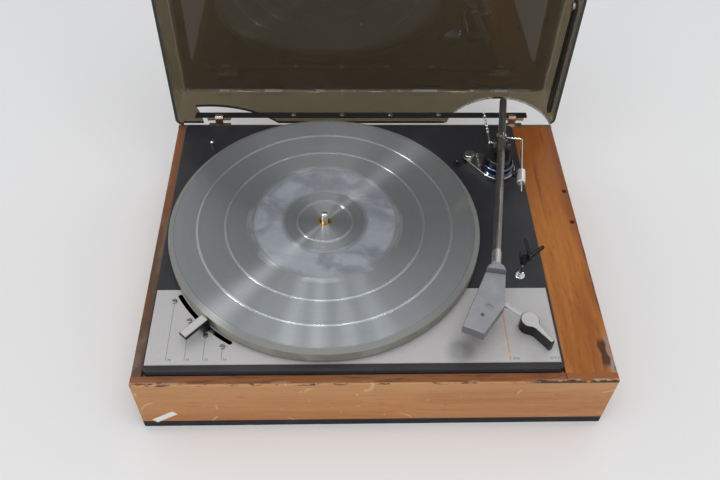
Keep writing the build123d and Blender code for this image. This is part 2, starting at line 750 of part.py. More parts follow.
def idler_carriage():
    """Two side plates with a riveted axle, on a sleeve that slides along the guide rod."""
    sleeve_x0 = carriage_plate_x()[0]
    sleeve_x1 = carriage_plate_x()[1] + CARRIAGE_PLATE_T
    body = along_x(sleeve_x0, sleeve_x1, GUIDE_Y, GUIDE_Z, SLEEVE_R)
    upper = Pos(PLATTER_Y, IDLER_Z) * Circle(CARRIAGE_EAR_R)
    lower = Pos(GUIDE_Y, GUIDE_Z) * Circle(SLEEVE_R)
    side = Plane.YZ * make_hull(upper.edges() + lower.edges())
    for x in carriage_plate_x():
        body += Pos(x, 0, 0) * extrude(side, CARRIAGE_PLATE_T)
    body -= along_x(sleeve_x0 - 1, sleeve_x1 + 1, GUIDE_Y, GUIDE_Z, GUIDE_R + RUN_GAP)
    return body + along_x(sleeve_x0 - 1, sleeve_x1 + 1, PLATTER_Y, IDLER_Z, AXLE_R)


def guide_ends():
    """Outer ends of the guide rod, past the carriage's travel."""
    half = IDLER_HUB_W / 2 + FACE_GAP + CARRIAGE_PLATE_T
    return (PLATTER_X - IDLER_OUT_R - half - SLEEVE_MARGIN,
            PLATTER_X - IDLER_IN_R + half + SLEEVE_MARGIN)


def idler_guide():
    """Guide rod riveted between two plates that hang under the deck."""
    x0, x1 = guide_ends()
    half = HANGER_W / 2
    guide = along_x(x0, x1, GUIDE_Y, GUIDE_Z, GUIDE_R)
    for x in (x0, x1 - HANGER_T):
        guide += slab(x, x + HANGER_T, GUIDE_Y - half, GUIDE_Y + half, GUIDE_Z, DECK_UNDER)
        guide += along_x(x, x + HANGER_T, GUIDE_Y, GUIDE_Z, half)
    return guide


def cone_frame():
    """Place and tilt of the motor axis: local +X points to the platter's axis."""
    r_in = CONE_SIZE - CONE_SLOPE * CONE_IN_R
    axis_z = CONE_LINE_Z - r_in / cos(radians(CONE_TILT))
    return Pos(PLATTER_X - CONE_IN_R, PLATTER_Y, axis_z) * Rot(0, CONE_TILT, 0)


def drive_shaft():
    """Tapered motor shaft whose top line stays level under the idler."""
    stretch = 1 / cos(radians(CONE_TILT))
    length = (CONE_OUT_R - CONE_IN_R) * stretch
    r_in = CONE_SIZE - CONE_SLOPE * CONE_IN_R
    r_out = r_in - length * CONE_SLOPE
    cone = Pos(-length / 2, 0, 0) * Rot(0, 90, 0) * Cone(r_out, r_in, length)
    tail = MOTOR_LENGTH + 2 * MOTOR_CAP_T + 2 * FACE_GAP
    return cone_frame() * (cone + along_x(0, tail + FACE_GAP, 0, 0, MOTOR_SHAFT_R))


def motor_body():
    """Motor can with its stepped bearing caps."""
    x0 = FACE_GAP
    x1 = x0 + MOTOR_CAP_T
    x2 = x1 + MOTOR_LENGTH
    can = along_x(x1, x2, 0, 0, MOTOR_R)
    can = fillet(can.edges().filter_by(GeomType.CIRCLE), 2)
    can += along_x(x0, x2 + MOTOR_CAP_T, 0, 0, MOTOR_CAP_R)
    return cone_frame() * (can - along_x(-1, x2 + MOTOR_CAP_T + 1, 0, 0, MOTOR_SHAFT_R + RUN_GAP))


def motor_hanger():
    """Bent steel frame under the deck whose two legs hold the motor's end caps."""
    tail = FACE_GAP + 2 * MOTOR_CAP_T + MOTOR_LENGTH
    ends = [(cone_frame() * Pos(s, 0, 0)).position for s in (FACE_GAP + MOTOR_CAP_T / 2, tail)]
    x0, x1 = ends[0].X - HANGER_LEG_T / 2, ends[1].X
    half = HANGER_LEG_W / 2
    frame = slab(x0, x1, PLATTER_Y - half, PLATTER_Y + half, DECK_UNDER - HANGER_LEG_T, DECK_UNDER)
    for x, end in ((x0, ends[0]), (x1 - HANGER_LEG_T, ends[1])):
        frame += slab(x, x + HANGER_LEG_T, PLATTER_Y - half, PLATTER_Y + half, end.Z, DECK_UNDER)
        frame += along_x(x, x + HANGER_LEG_T, PLATTER_Y, end.Z, MOTOR_CAP_R + HANGER_LEG_T)
    return frame - cone_frame() * along_x(-1, tail + 1, 0, 0, MOTOR_CAP_R + RUN_GAP)


def switch_outline(inset):
    """Hub circle that flows on both sides into a tapered handle."""
    tip = SWITCH_LENGTH - inset
    root = SWITCH_ROOT_W / 2 - inset
    half = SWITCH_TIP_W / 2 - inset
    handle = make_face(Polyline((0, root), (tip, half), (tip, -half), (0, -root), close=True))
    face = Circle(SWITCH_HUB_R - inset) + handle
    return fillet(face.vertices().sort_by(Axis.X)[:2], SWITCH_BLEND_R + inset)


def switch_place():
    return Pos(SWITCH_XY[0], SWITCH_XY[1], 0) * Rot(0, 0, SWITCH_ANGLE)


def switch_lever():
    z0 = PANEL_TOP + SWITCH_RISE
    body = Pos(0, 0, z0) * extrude(switch_outline(0), SWITCH_H)
    bottom = DECK_UNDER - SWITCH_SHAFT_DROP
    shaft = upright(0, 0, bottom, z0, SWITCH_SHAFT_R)
    cam = upright(0, 0, bottom, bottom + SWITCH_CAM_T, SWITCH_CAM_R)
    cam -= slab(-SWITCH_CAM_R, SWITCH_CAM_R, SWITCH_CAM_R * 0.6, SWITCH_CAM_R + 1,
                bottom - 1, bottom + SWITCH_CAM_T + 1)
    return switch_place() * (body + shaft + cam)


def switch_cap():
    z0 = PANEL_TOP + SWITCH_RISE + SWITCH_H
    return switch_place() * Pos(0, 0, z0) * extrude(switch_outline(SWITCH_CAP_INSET), SWITCH_CAP_T)


def switch_bush():
    x, y = SWITCH_XY
    bush = tube_up(x, y, DECK_UNDER, PANEL_TOP, SWITCH_BUSH_R, SWITCH_SHAFT_R + RUN_GAP)
    return bush + tube_up(x, y, DECK_UNDER - 3, DECK_UNDER, SWITCH_BUSH_R + 2,
                          SWITCH_SHAFT_R + RUN_GAP)


def switch_box():
    w, d, h = SWITCH_BOX
    x1 = SWITCH_XY[0] - SWITCH_CAM_R - FACE_GAP
    box = slab(x1 - w, x1, SWITCH_XY[1] - d / 2, SWITCH_XY[1] + d / 2, DECK_UNDER - h, DECK_UNDER)
    return chamfer(box.edges().filter_by(Axis.Z), 1)


def rest_post():
    x, y = REST_XY
    disc = upright(x, y, DECK_TOP, DECK_TOP + REST_DISC_T, REST_DISC_R)
    disc = fillet(disc.edges().sort_by(Axis.Z)[-1], REST_DISC_T * 0.4)
    return disc + upright(x, y, DECK_UNDER - 4, REST_FLOOR_Z - REST_WALL, REST_POST_R)


def rest_cradle():
    """Half-round channel for the arm tube with an open two-armed latch, on a swivelling boss."""
    r, d = REST_CHANNEL_R, REST_DEPTH / 2
    centre_z = REST_FLOOR_Z + r
    lip_z = REST_FLOOR_Z + REST_LIP_H
    base_z = REST_FLOOR_Z - REST_WALL
    channel = along_y(0, -d, d, centre_z, r + REST_WALL)
    channel -= slab(-2 * r, 2 * r, -2 * d, 2 * d, lip_z, lip_z + 4 * r)
    channel += upright(0, 0, base_z - REST_BOSS_H, REST_FLOOR_Z + 1, REST_BOSS_R)
    channel -= along_y(0, -2 * d, 2 * d, centre_z, r)
    channel = Rot(0, 0, REST_TURN) * channel
    root = (r + REST_WALL / 2, 0, lip_z - REST_LATCH_R)
    channel += Pos(*root) * Sphere(REST_LATCH_R)
    for x, y in REST_LATCH_TIPS:
        tip = (x, y, REST_FLOOR_Z + REST_LATCH_H)
        channel += bar_between(root, tip, REST_LATCH_R) + Pos(*tip) * Sphere(REST_LATCH_R)
    channel -= upright(0, 0, base_z - REST_BOSS_H - 1, base_z, REST_POST_R + RUN_GAP)
    return Pos(REST_XY[0], REST_XY[1], 0) * channel


def arm_base():
    """Comma-shaped base plate with the pillar that goes through the deck."""
    main = Pos(0, 0) * Circle(BASE_R)
    lobe = Pos(*LOBE_XY) * Circle(LOBE_R)
    plate = extrude(make_hull(main.edges() + lobe.edges()), BASE_H)
    plate = fillet(plate.faces().sort_by(Axis.Z)[-1].edges(), 1.2)
    plate += upright(0, 0, -DECK_T - PILLAR_DEPTH, 0, PILLAR_R)
    plate -= upright(0, 0, -DECK_T - PILLAR_DEPTH - 1, BASE_H + 1, YOKE_SHAFT_R + RUN_GAP)
    return Pos(ARM_X, ARM_Y, DECK_TOP) * plate


def arm_base_cap():
    cap = upright(ARM_X + LOBE_XY[0], ARM_Y + LOBE_XY[1], BASE_TOP, BASE_TOP + LOBE_CAP_H,
                  LOBE_CAP_R)
    return fillet(cap.edges().sort_by(Axis.Z)[-1], 0.8)


def arm_collar():
    ring = upright(ARM_X, ARM_Y, BASE_TOP, COLLAR_TOP, COLLAR_R)
    ring = fillet(ring.edges().sort_by(Axis.Z)[-1], COLLAR_ROUND)
    return ring - upright(ARM_X, ARM_Y, BASE_TOP - 1, COLLAR_TOP + 1, YOKE_SHAFT_R + RUN_GAP)


def bias_post():
    x, y = BIAS_POST_XY
    post = upright(x, y, DECK_TOP, DECK_TOP + BIAS_POST_H, BIAS_POST_R)
    post = chamfer(post.edges().sort_by(Axis.Z)[-1], 0.6)
    return post + upright(x, y, DECK_TOP, DECK_TOP + 1.2, BIAS_POST_R + 1.4)


def arm_yoke():
    """Turning yoke: a shaft and disc with two uprights beside the tube."""
    low = YOKE_BOTTOM - ARM_Z
    top = YOKE_TOP - ARM_Z
    yoke = upright(0, 0, low, top, YOKE_R)
    yoke = fillet(yoke.edges().sort_by(Axis.Z)[-1], 1.5)
    yoke += upright(0, 0, DECK_UNDER - PILLAR_DEPTH - ARM_Z, low, YOKE_SHAFT_R)
    for side in (-1, 1):
        x0, x1 = sorted((side * UPRIGHT_IN, side * (UPRIGHT_IN + UPRIGHT_T)))
        cheek = slab(x0, x1, -UPRIGHT_L / 2, UPRIGHT_L / 2, top - 1, 0)
        cheek += along_x(x0, x1, 0, 0, UPRIGHT_TOP)
        yoke += cheek - along_x(x0 - 1, x1 + 1, 0, 0, TRUNNION_R + RUN_GAP)
    return ARM_FRAME * yoke


def notched_rod():
    """Rod with rings along it, which holds the bias thread, on a short pillar."""
    x0, y0 = NOTCH_START
    x1, y1 = NOTCH_END
    rod = bar_between((x0, y0, 0), (x1, y1, 0), NOTCH_ROD_R)
    for i in range(NOTCH_COUNT):
        t = NOTCH_FIRST + (1 - NOTCH_FIRST) * i / (NOTCH_COUNT - 1)
        rod += Pos(x0 + t * (x1 - x0), y0 + t * (y1 - y0), 0) * Sphere(NOTCH_R)
    pillar_z = YOKE_TOP - ARM_Z
    foot = UPRIGHT_IN + UPRIGHT_T
    rod += Pos(x0, y0, 0) * Sphere(NOTCH_R)
    rod += along_x(x0, -foot, y0, 0, NOTCH_ROD_R)
    rod += upright(x0, y0, pillar_z / 2, 0, NOTCH_ROD_R)
    return ARM_FRAME * rod


def arm_tube():
    """Hollow tube with the short sleeve behind the head."""
    tube = along_y(0, -TUBE_FRONT, TUBE_REAR, 0, TUBE_R)
    sleeve = along_y(0, -SLEEVE_Y1, -SLEEVE_Y0, 0, TUBE_R + SLEEVE_T)
    tube += chamfer(sleeve.edges().filter_by(GeomType.CIRCLE), SLEEVE_T / 2)
    return ARM_FRAME * (tube - along_y(0, -TUBE_FRONT - 1, TUBE_REAR + 1, 0, TUBE_R - TUBE_WALL))


def pivot_block():
    """Block round the tube with the two trunnions."""
    half = BLOCK_HALF_W
    block = slab(-half, half, -BLOCK_L / 2, BLOCK_L / 2, -BLOCK_H / 2, BLOCK_H / 2)
    block = chamfer(block.edges().filter_by(Axis.Y), 1.5)
    pins = along_x(-UPRIGHT_IN - UPRIGHT_T, UPRIGHT_IN + UPRIGHT_T, 0, 0, TRUNNION_R)
    return ARM_FRAME * (block + pins - along_y(0, -BLOCK_L, BLOCK_L, 0, TUBE_R))


def weight_rail():
    """Clamp on the tube with the cross bar and the side rail of the sliding weight."""
    y = RAIL_CROSS_Y
    clamp = along_y(0, y - CLAMP_W / 2, y + CLAMP_W / 2, 0, TUBE_R + CLAMP_WALL)
    clamp -= along_y(0, y - CLAMP_W, y + CLAMP_W, 0, TUBE_R)
    cross = bar_between((TUBE_R + CLAMP_WALL / 2, y, 0), (RAIL_OUT, y, 0), RAIL_R)
    rail = bar_between((RAIL_OUT, y, 0), (RAIL_OUT, -RAIL_TIP_Y, 0), RAIL_R)
    return ARM_FRAME * (clamp + cross + rail + Pos(RAIL_OUT, y, 0) * Sphere(RAIL_R))


def thumb_screw_y():
    return -WEIGHT_Y + WEIGHT_LENGTH / 2 - THUMB_LEAD


def force_weight():
    """Sliding weight with its bore and the tapped hole of the thumb screw."""
    y0, y1 = -WEIGHT_Y - WEIGHT_LENGTH / 2, -WEIGHT_Y + WEIGHT_LENGTH / 2
    weight = along_y(RAIL_OUT, y0, y1, 0, WEIGHT_R)
    weight = chamfer(weight.edges().filter_by(GeomType.CIRCLE), 0.5)
    weight -= along_y(RAIL_OUT, y0 - 1, y1 + 1, 0, RAIL_R + RUN_GAP)
    side = RAIL_OUT - WEIGHT_R
    return ARM_FRAME * (weight - along_x(side - 1, side + THUMB_BITE + RUN_GAP, thumb_screw_y(), 0,
                                         THUMB_STEM_R + RUN_GAP))


def thumb_screw():
    seat = RAIL_OUT - WEIGHT_R - FACE_GAP
    head = along_x(seat - THUMB_L, seat, thumb_screw_y(), 0, THUMB_R)
    head = fillet(head.edges().filter_by(GeomType.CIRCLE), 1)
    return ARM_FRAME * (head + along_x(seat, RAIL_OUT - WEIGHT_R + THUMB_BITE, thumb_screw_y(), 0,
                                       THUMB_STEM_R))


def headshell_outline(inset):
    """Plan of the headshell in the arm's frame, from the neck to the slanted front."""
    half = HEADSHELL_BACK_W / 2 - inset
    turn = radians(HEADSHELL_TURN)
    fx, fy = HEADSHELL_FRONT_W / 2 * cos(turn), HEADSHELL_FRONT_W / 2 * sin(turn)
    front = HEADSHELL_FRONT - fy - inset
    mx = HEADSHELL_OFFSET
    shrink = 1 - 2 * inset / HEADSHELL_FRONT_W
    return make_face(Polyline(
        (-half, -HEADSHELL_BACK - inset),
        (half, -HEADSHELL_BACK - inset),
        (half, -HEADSHELL_KINK + inset / 2),
        (mx + fx * shrink, -front - fy * shrink),
        (mx - fx * shrink, -front + fy * shrink),
        close=True))


def headshell():
    """Hollow head, open below, with the rounded neck that takes the tube."""
    base = HEADSHELL_TOP - HEADSHELL_H
    shell = Pos(0, 0, base) * extrude(headshell_outline(0), HEADSHELL_H)
    shell = fillet(shell.faces().sort_by(Axis.Z)[-1].edges(), 0.8)
    hollow = extrude(headshell_outline(HEADSHELL_WALL), HEADSHELL_H - HEADSHELL_WALL + 1)
    shell -= Pos(0, 0, base - 1) * hollow
    neck = upright(0, -HEADSHELL_BACK, base + 1, TUBE_R + NECK_RISE, NECK_R)
    neck = fillet(neck.edges().sort_by(Axis.Z)[-1], NECK_ROUND)
    neck -= slab(-2 * NECK_R, 2 * NECK_R, -HEADSHELL_BACK - 2 * NECK_R, -HEADSHELL_BACK,
                 base, TUBE_R + 2 * NECK_RISE)
    shell += neck - along_y(0, -TUBE_FRONT, -HEADSHELL_BACK + 3 * NECK_R, 0, TUBE_R)
    x, y = HEADSHELL_DISH
    shell -= upright(x, y, HEADSHELL_TOP - 0.5, HEADSHELL_TOP + 1, HEADSHELL_DISH_R)
    return ARM_FRAME * shell


def cartridge_frame():
    return ARM_FRAME * Pos(HEADSHELL_OFFSET * 0.62, -CARTRIDGE_Y, 0) * Rot(0, 0, -HEADSHELL_TURN + 2)


def cartridge():
    w, d, h = CARTRIDGE
    top = HEADSHELL_TOP - HEADSHELL_WALL
    body = slab(-w / 2, w / 2, -d / 2, d / 2, top - h, top)
    lower = body.faces().sort_by(Axis.Z)[0].edges().sort_by(Axis.Y)[0]
    return cartridge_frame() * chamfer(lower, 3)


def stylus():
    top = HEADSHELL_TOP - HEADSHELL_WALL - CARTRIDGE[2]
    drop = STYLUS_DROP + top
    y = -CARTRIDGE[1] / 2 + HOLDER_SETBACK
    half = HOLDER_W / 2
    holder = slab(-half, half, y - half, y + HOLDER_L, top - drop * 0.5, top)
    tip = Pos(0, y, top - drop * 0.75) * Cone(STYLUS_TIP_R, STYLUS_R, drop * 0.5)
    return cartridge_frame() * (holder + tip)


def finger_lift():
    """Bent tab beside the head, for lifting the arm."""
    x = HEADSHELL_BACK_W / 2
    y = -HEADSHELL_KINK + FINGER_W
    z = HEADSHELL_TOP - 2 * FINGER_T
    tab = slab(0, FINGER_REACH, -FINGER_W / 2, FINGER_W / 2, -FINGER_T, 0)
    tab = Pos(x, y, z) * Rot(0, 0, FINGER_SWEEP) * tab
    ramp = slab(x, x + FINGER_W, y - FINGER_W / 2, y + FINGER_W / 2, z - 3 * FINGER_T, z)
    inside = slab(-x, x, y - FINGER_REACH, y + FINGER_REACH, z - HEADSHELL_H, z + HEADSHELL_H)
    return ARM_FRAME * (tab + ramp - inside)


def opened(shape):
    """Turn a piece of the closed cover to its open place."""
    return shape.rotate(Axis((0, HINGE_Y, HINGE_Z), (1, 0, 0)), -LID_OPEN)


def right_arch():
    """Cut-out in the cover's rear wall that clears the arm's tail, steep at its right end."""
    x0, x1, rise = RIGHT_CUT_OUT
    w = x1 - x0
    along, up = RIGHT_CUT_SHARES
    points = [(x0 + a * w, rise * u) for a, u in zip(along, up)]
    top = Spline((x0, 0), *points, (x1, 0))
    return make_face(top + Line((x1, 0), (x0, 0)))


def left_arch():
    """Cut-out over the left hinge, steep at the corner and long towards the middle."""
    x0, x1, rise = LEFT_CUT_OUT
    foot = x0 + LEFT_CUT_FOOT
    top = ThreePointArc((x1, 0), (x1 * 0.55 + x0 * 0.45, rise * 0.83), (x0, rise))
    side = ThreePointArc((x0, rise), (x0 + LEFT_CUT_FOOT * 0.6, rise * 0.5), (foot, 0))
    return make_face(top + side + Line((foot, 0), (x1, 0)))


def lid_shell():
    """Smoked cover with both cut-outs, built closed and then opened."""
    outer = Pos(0, 0, LID_BOTTOM) * extrude(RectangleRounded(PLINTH_W, PLINTH_D, LID_CORNER_R), LID_H)
    outer = fillet(outer.faces().sort_by(Axis.Z)[-1].edges(), LID_CREASE_R)
    plan = RectangleRounded(PLINTH_W - 2 * LID_T, PLINTH_D - 2 * LID_T, LID_CORNER_R - LID_T)
    inner = Pos(0, 0, LID_BOTTOM - 1) * extrude(plan, LID_H - LID_T + 1)
    inner = fillet(inner.faces().sort_by(Axis.Z)[-1].edges(), LID_CREASE_R - LID_T)
    shell = outer - inner
    wall_y = HALF_D - LID_CORNER_R
    wall = Plane(origin=(0, HALF_D + 1, LID_BOTTOM - 0.01), x_dir=(1, 0, 0), z_dir=(0, -1, 0))
    for arch in (left_arch(), right_arch()):
        shell -= extrude(wall * arch, HALF_D + 1 - wall_y)
    shell -= slab(REAR_RELIEF_X, RIGHT_CUT_OUT[0] + REAR_RELIEF, wall_y, HALF_D + 1,
                  LID_BOTTOM - 1, LID_BOTTOM + REAR_RELIEF)
    for x in RIVET_X:
        shell -= along_y(x, wall_y, HALF_D + 1, HINGE_Z + RIVET_UP, RIVET_R + RUN_GAP)
    shell -= along_x(HALF_W - 2 * LID_T, HALF_W + 1, HALF_D - STAY_PIVOT_FORWARD,
                     LID_BOTTOM + STAY_PIVOT_UP, STAY_SCREW_R + RUN_GAP)
    return opened(shell)


def hinge_brackets():
    """Feet on the rear board, each with the middle knuckle."""
    brackets = []
    for x in (-HINGE_X, HINGE_X):
        half = KNUCKLE_L / 2
        wide = KNUCKLE_L * 1.5
        foot = slab(x - wide, x + wide, WELL_Y1, HALF_D, PLINTH_TOP, PLINTH_TOP + HINGE_FOOT_T)
        post = slab(x - half, x + half, HINGE_Y - KNUCKLE_R, HALF_D, PLINTH_TOP, HINGE_Z)
        knuckle = along_x(x - half, x + half, HINGE_Y, HINGE_Z, KNUCKLE_R)
        bore = along_x(x - half - 1, x + half + 1, HINGE_Y, HINGE_Z, PIN_R)
        brackets.append(foot + post + knuckle - bore)
    return Compound(children=brackets)


def outer_knuckle_spans():
    """X ranges of the four knuckles that turn with the cover."""
    inner = KNUCKLE_L / 2 + FACE_GAP
    outer = inner + KNUCKLE_L
    spans = []
    for x in (-HINGE_X, HINGE_X):
        spans += [(x - outer, x - inner), (x + inner, x + outer)]
    return spans


def hinge_pins():
    length = KNUCKLE_L * 1.5 + FACE_GAP + 1
    return Compound(children=[along_x(x - length, x + length, HINGE_Y, HINGE_Z, PIN_R)
                              for x in (-HINGE_X, HINGE_X)])


def hinge_knuckles():
    knuckles = []
    seat = HALF_D - LID_T + RUN_GAP
    for x0, x1 in outer_knuckle_spans():
        knuckle = along_x(x0, x1, HINGE_Y, HINGE_Z, KNUCKLE_R)
        knuckle -= slab(x0 - 1, x1 + 1, HINGE_Y - KNUCKLE_R - 1, seat,
                        HINGE_Z - KNUCKLE_R - 1, HINGE_Z + KNUCKLE_R + 1)
        bore = along_x(x0 - 1, x1 + 1, HINGE_Y, HINGE_Z, PIN_R + RUN_GAP)
        knuckles.append(opened(knuckle - bore))
    return Compound(children=knuckles)


def hinge_strip():
    """Long steel strip inside the rear wall that carries the knuckles across the cut-outs."""
    face = HALF_D - LID_T
    strip = slab(STRIP_X0, STRIP_X1, face - STRIP_T, face, HINGE_Z - STRIP_DOWN, HINGE_Z + STRIP_UP)
    gap = KNUCKLE_L / 2 + FACE_GAP
    for x in (-HINGE_X, HINGE_X):
        strip -= slab(x - gap, x + gap, face - 2 * STRIP_T, face + 1, HINGE_Z - STRIP_DOWN - 1,
                      HINGE_Z + KNUCKLE_R + FACE_GAP)
    for x in RIVET_X:
        strip -= along_y(x, face - 2 * STRIP_T, face + 1, HINGE_Z + RIVET_UP, RIVET_R + RUN_GAP)
    return opened(strip)


def hinge_rivets():
    rivets = []
    head_y = HALF_D - LID_T - STRIP_T
    z = HINGE_Z + RIVET_UP
    for x in RIVET_X:
        head = along_y(x, head_y - RIVET_HEAD_T, head_y, z, RIVET_HEAD_R)
        head = fillet(head.edges().filter_by(GeomType.CIRCLE).sort_by(Axis.Y)[0], RIVET_HEAD_T / 2)
        rivets.append(opened(head + along_y(x, head_y, HALF_D, z, RIVET_R)))
    return Compound(children=rivets)


def stay_pivot():
    """Open place of the stay's pivot, as Y and Z."""
    y = HALF_D - STAY_PIVOT_FORWARD - HINGE_Y
    z = LID_BOTTOM + STAY_PIVOT_UP - HINGE_Z
    c, s = cos(radians(LID_OPEN)), sin(radians(LID_OPEN))
    return (HINGE_Y + y * c + z * s, HINGE_Z - y * s + z * c)


def lid_stay():
    """Flat stay that hangs straight down from its screw."""
    y, z = stay_pivot()
    half = STAY_W / 2
    stay = slab(STAY_X0, STAY_X1, y - half, y + half, z - STAY_LENGTH, z)
    stay += along_x(STAY_X0, STAY_X1, y, z, half)
    stay += along_x(STAY_X0, STAY_X1, y, z - STAY_LENGTH, half)
    stay -= along_x(STAY_X0 - 1, STAY_X1 + 1, y, z, STAY_SCREW_R + RUN_GAP)
    return stay - along_x(STAY_X0 - 1, STAY_X1 + 1, y, z - STAY_LENGTH, STAY_SCREW_R)


def stay_screw():
    y, z = stay_pivot()
    head_x1 = STAY_X0 - FACE_GAP
    screw = along_x(head_x1, HALF_W, y, z, STAY_SCREW_R)
    head = along_x(head_x1 - STAY_HEAD_T, head_x1, y, z, STAY_HEAD_R)
    head = fillet(head.edges().filter_by(GeomType.CIRCLE).sort_by(Axis.X)[0], STAY_HEAD_ROUND)
    return screw + head


for name, build in {
    "plinth_front_board": front_board,
    "plinth_rear_board": rear_board,
    "plinth_left_board": left_board,
    "plinth_right_board": right_board,
    "plinth_side_ledge": side_ledge,
    "plinth_base_board": base_board,
    "plinth_corner_blocks": corner_blocks,
    "deck_support_rails": support_rails,
    "base_screws": base_screws,
    "cord_grommets": cord_grommets,
    "deck_plate": deck_plate,
    "control_panel": control_panel,
    "speed_stop_screws": speed_stop_screws,
    "deck_studs": deck_studs,
    "rubber_bushes": rubber_bushes,
    "deck_pin": deck_pin,
    "main_bearing_housing": bearing_housing,
    "thrust_ball": thrust_ball,
    "platter": platter,
    "platter_spindle": spindle,
    "speed_lever_arm": speed_lever_arm,
    "speed_lever_ring": retaining_ring,
    "speed_knob": speed_knob,
    "speed_knob_cap": speed_knob_cap,
    "idler_wheel": idler_wheel,
    "idler_tyre": idler_tyre,
    "idler_carriage": idler_carriage,
    "idler_guide": idler_guide,
    "drive_shaft": drive_shaft,
    "motor_body": motor_body,
    "motor_hanger": motor_hanger,
    "switch_lever": switch_lever,
    "switch_lever_cap": switch_cap,
    "switch_bush": switch_bush,
    "switch_box": switch_box,
    "arm_rest_post": rest_post,
    "arm_rest_cradle": rest_cradle,
    "arm_base_plate": arm_base,
    "arm_base_cap": arm_base_cap,
    "arm_collar": arm_collar,
    "bias_post": bias_post,
    "arm_yoke": arm_yoke,
    "notched_rod": notched_rod,
    "arm_tube": arm_tube,
    "arm_pivot_block": pivot_block,
    "weight_rail": weight_rail,
    "force_weight": force_weight,
    "weight_thumb_screw": thumb_screw,
    "headshell": headshell,
    "cartridge": cartridge,
    "stylus": stylus,
    "finger_lift": finger_lift,
    "lid_shell": lid_shell,
    "lid_hinge_brackets": hinge_brackets,
    "lid_hinge_pins": hinge_pins,
    "lid_hinge_strip": hinge_strip,
    "lid_hinge_knuckles": hinge_knuckles,
    "lid_hinge_rivets": hinge_rivets,
    "lid_stay": lid_stay,
    "lid_stay_screw": stay_screw,
}.items():
    save(name, build())
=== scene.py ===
import math

import bmesh
import bpy
from mathutils import Matrix, Vector


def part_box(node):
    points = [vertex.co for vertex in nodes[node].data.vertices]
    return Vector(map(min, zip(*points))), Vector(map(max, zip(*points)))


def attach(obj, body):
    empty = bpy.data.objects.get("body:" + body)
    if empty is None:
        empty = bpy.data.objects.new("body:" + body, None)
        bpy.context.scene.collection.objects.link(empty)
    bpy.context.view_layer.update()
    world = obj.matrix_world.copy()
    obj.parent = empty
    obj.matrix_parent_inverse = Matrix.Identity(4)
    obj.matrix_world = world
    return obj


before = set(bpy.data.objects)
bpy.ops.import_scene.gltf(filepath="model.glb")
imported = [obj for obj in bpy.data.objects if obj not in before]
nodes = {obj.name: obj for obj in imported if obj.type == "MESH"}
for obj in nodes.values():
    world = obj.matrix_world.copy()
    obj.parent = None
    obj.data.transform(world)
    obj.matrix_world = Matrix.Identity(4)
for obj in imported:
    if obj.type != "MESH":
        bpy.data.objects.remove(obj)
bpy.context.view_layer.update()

# Places read from the frame, in metres
DECK_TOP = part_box("deck_plate")[1].z
PANEL_LO, PANEL_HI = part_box("control_panel")
PLATTER_LO, PLATTER_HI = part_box("platter")
FRONT_LO, FRONT_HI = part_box("plinth_front_board")
REAR_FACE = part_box("plinth_rear_board")[1].y
BASE_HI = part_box("plinth_base_board")[1]
HEAD_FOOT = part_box("headshell")[0].z
LEDGE_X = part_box("plinth_side_ledge")[0].x
FRONT_FACE = FRONT_LO.y
PLINTH_TOP = FRONT_HI.z
PANEL_TOP = PANEL_HI.z
HALF_W = BASE_HI.x
HALF_D = BASE_HI.y
PLATTER_CENTRE = (PLATTER_LO + PLATTER_HI) / 2
PLATTER_RADIUS = (PLATTER_HI.x - PLATTER_LO.x) / 2

# The cover: how far it stands open, its hinge line, and its edges as if it were shut
LID_OPEN = 91.0
LID_WALL = 0.003
LID_H = 0.062
LID_RIM = PLINTH_TOP + 0.0003
LID_UNDER_TOP = LID_RIM + LID_H - LID_WALL
LID_REAR_INNER = REAR_FACE - LID_WALL
HINGE_Y = REAR_FACE - LID_WALL / 2
HINGE_Z = PLINTH_TOP + 0.011
REAR_CUT_FROM = LID_REAR_INNER - 0.00035
RIM_CUT_TO = LID_RIM + 0.0004
ARCHES_TOP = LID_RIM + 0.04785
ARCHES_END = 0.213
RIGHT_CUT_START = 0.090
SHEET_FROM = LID_UNDER_TOP - 0.00045
CREASE_FOLD = -0.0024
CREASE_HALF_W = 0.00035

# Rings of the platter, its bush and the spindle's peg
RIDGE_RADII = (0.0275, 0.0994, 0.1272)
RIDGE_HALF_W = 0.0011
LABEL_IN = 0.0425
LABEL_OUT = 0.0725
DARK_RING_RADIUS = LABEL_OUT + 0.0006
DARK_RING_HALF_W = 0.0016
PALE_RING_RADIUS = LABEL_OUT + 0.0030
PALE_RING_HALF_W = 0.0030
RIM_RADIUS = 0.151
RIM_LINE_RADIUS = RIM_RADIUS - 0.0006
RIM_LINE_HALF_W = 0.0005
SIDE_FROM = PLATTER_RADIUS - 0.0004
BUSH_RADIUS = 0.0074
PEG_RADIUS = 0.00367

# Arm: round recess in the head's top, and where the tube's short sleeve begins
HEAD_DISH = (0.1006, -0.1181)
HEAD_DISH_REACH = 0.0052
SLEEVE_Y = -0.05675

# Small slotted screw in the head's top, its profile as shares of its radius and height
HEAD_SCREW = (0.0940, -0.1288, HEAD_FOOT + 0.0100)
SCREW_R = 0.0017
SCREW_H = 0.0007
SCREW_SLOT_W = 0.0005
SCREW_TURN = 28.0
SCREW_SIDES = 40
SCREW_PROFILE = ((1.0, 0.0), (1.0, 0.35), (0.92, 0.65), (0.72, 0.88), (0.42, 1.0))

# Speed marks on the panel: each line's place along X, its screw's along Y, and its number
SPEED_MARKS = (
    (-0.1877, -0.0866, "78"),
    (-0.1712, -0.1090, "45"),
    (-0.1548, -0.1253, "33"),
    (-0.1384, -0.1376, "16"),
)
MARK_FOOT_Y = -0.1520
MARK_BELOW_SCREW = 0.003
NUMBER_FROM_LINE = 0.0014
NUMBER_SIZE = 0.0034
LINE_W = 0.00035

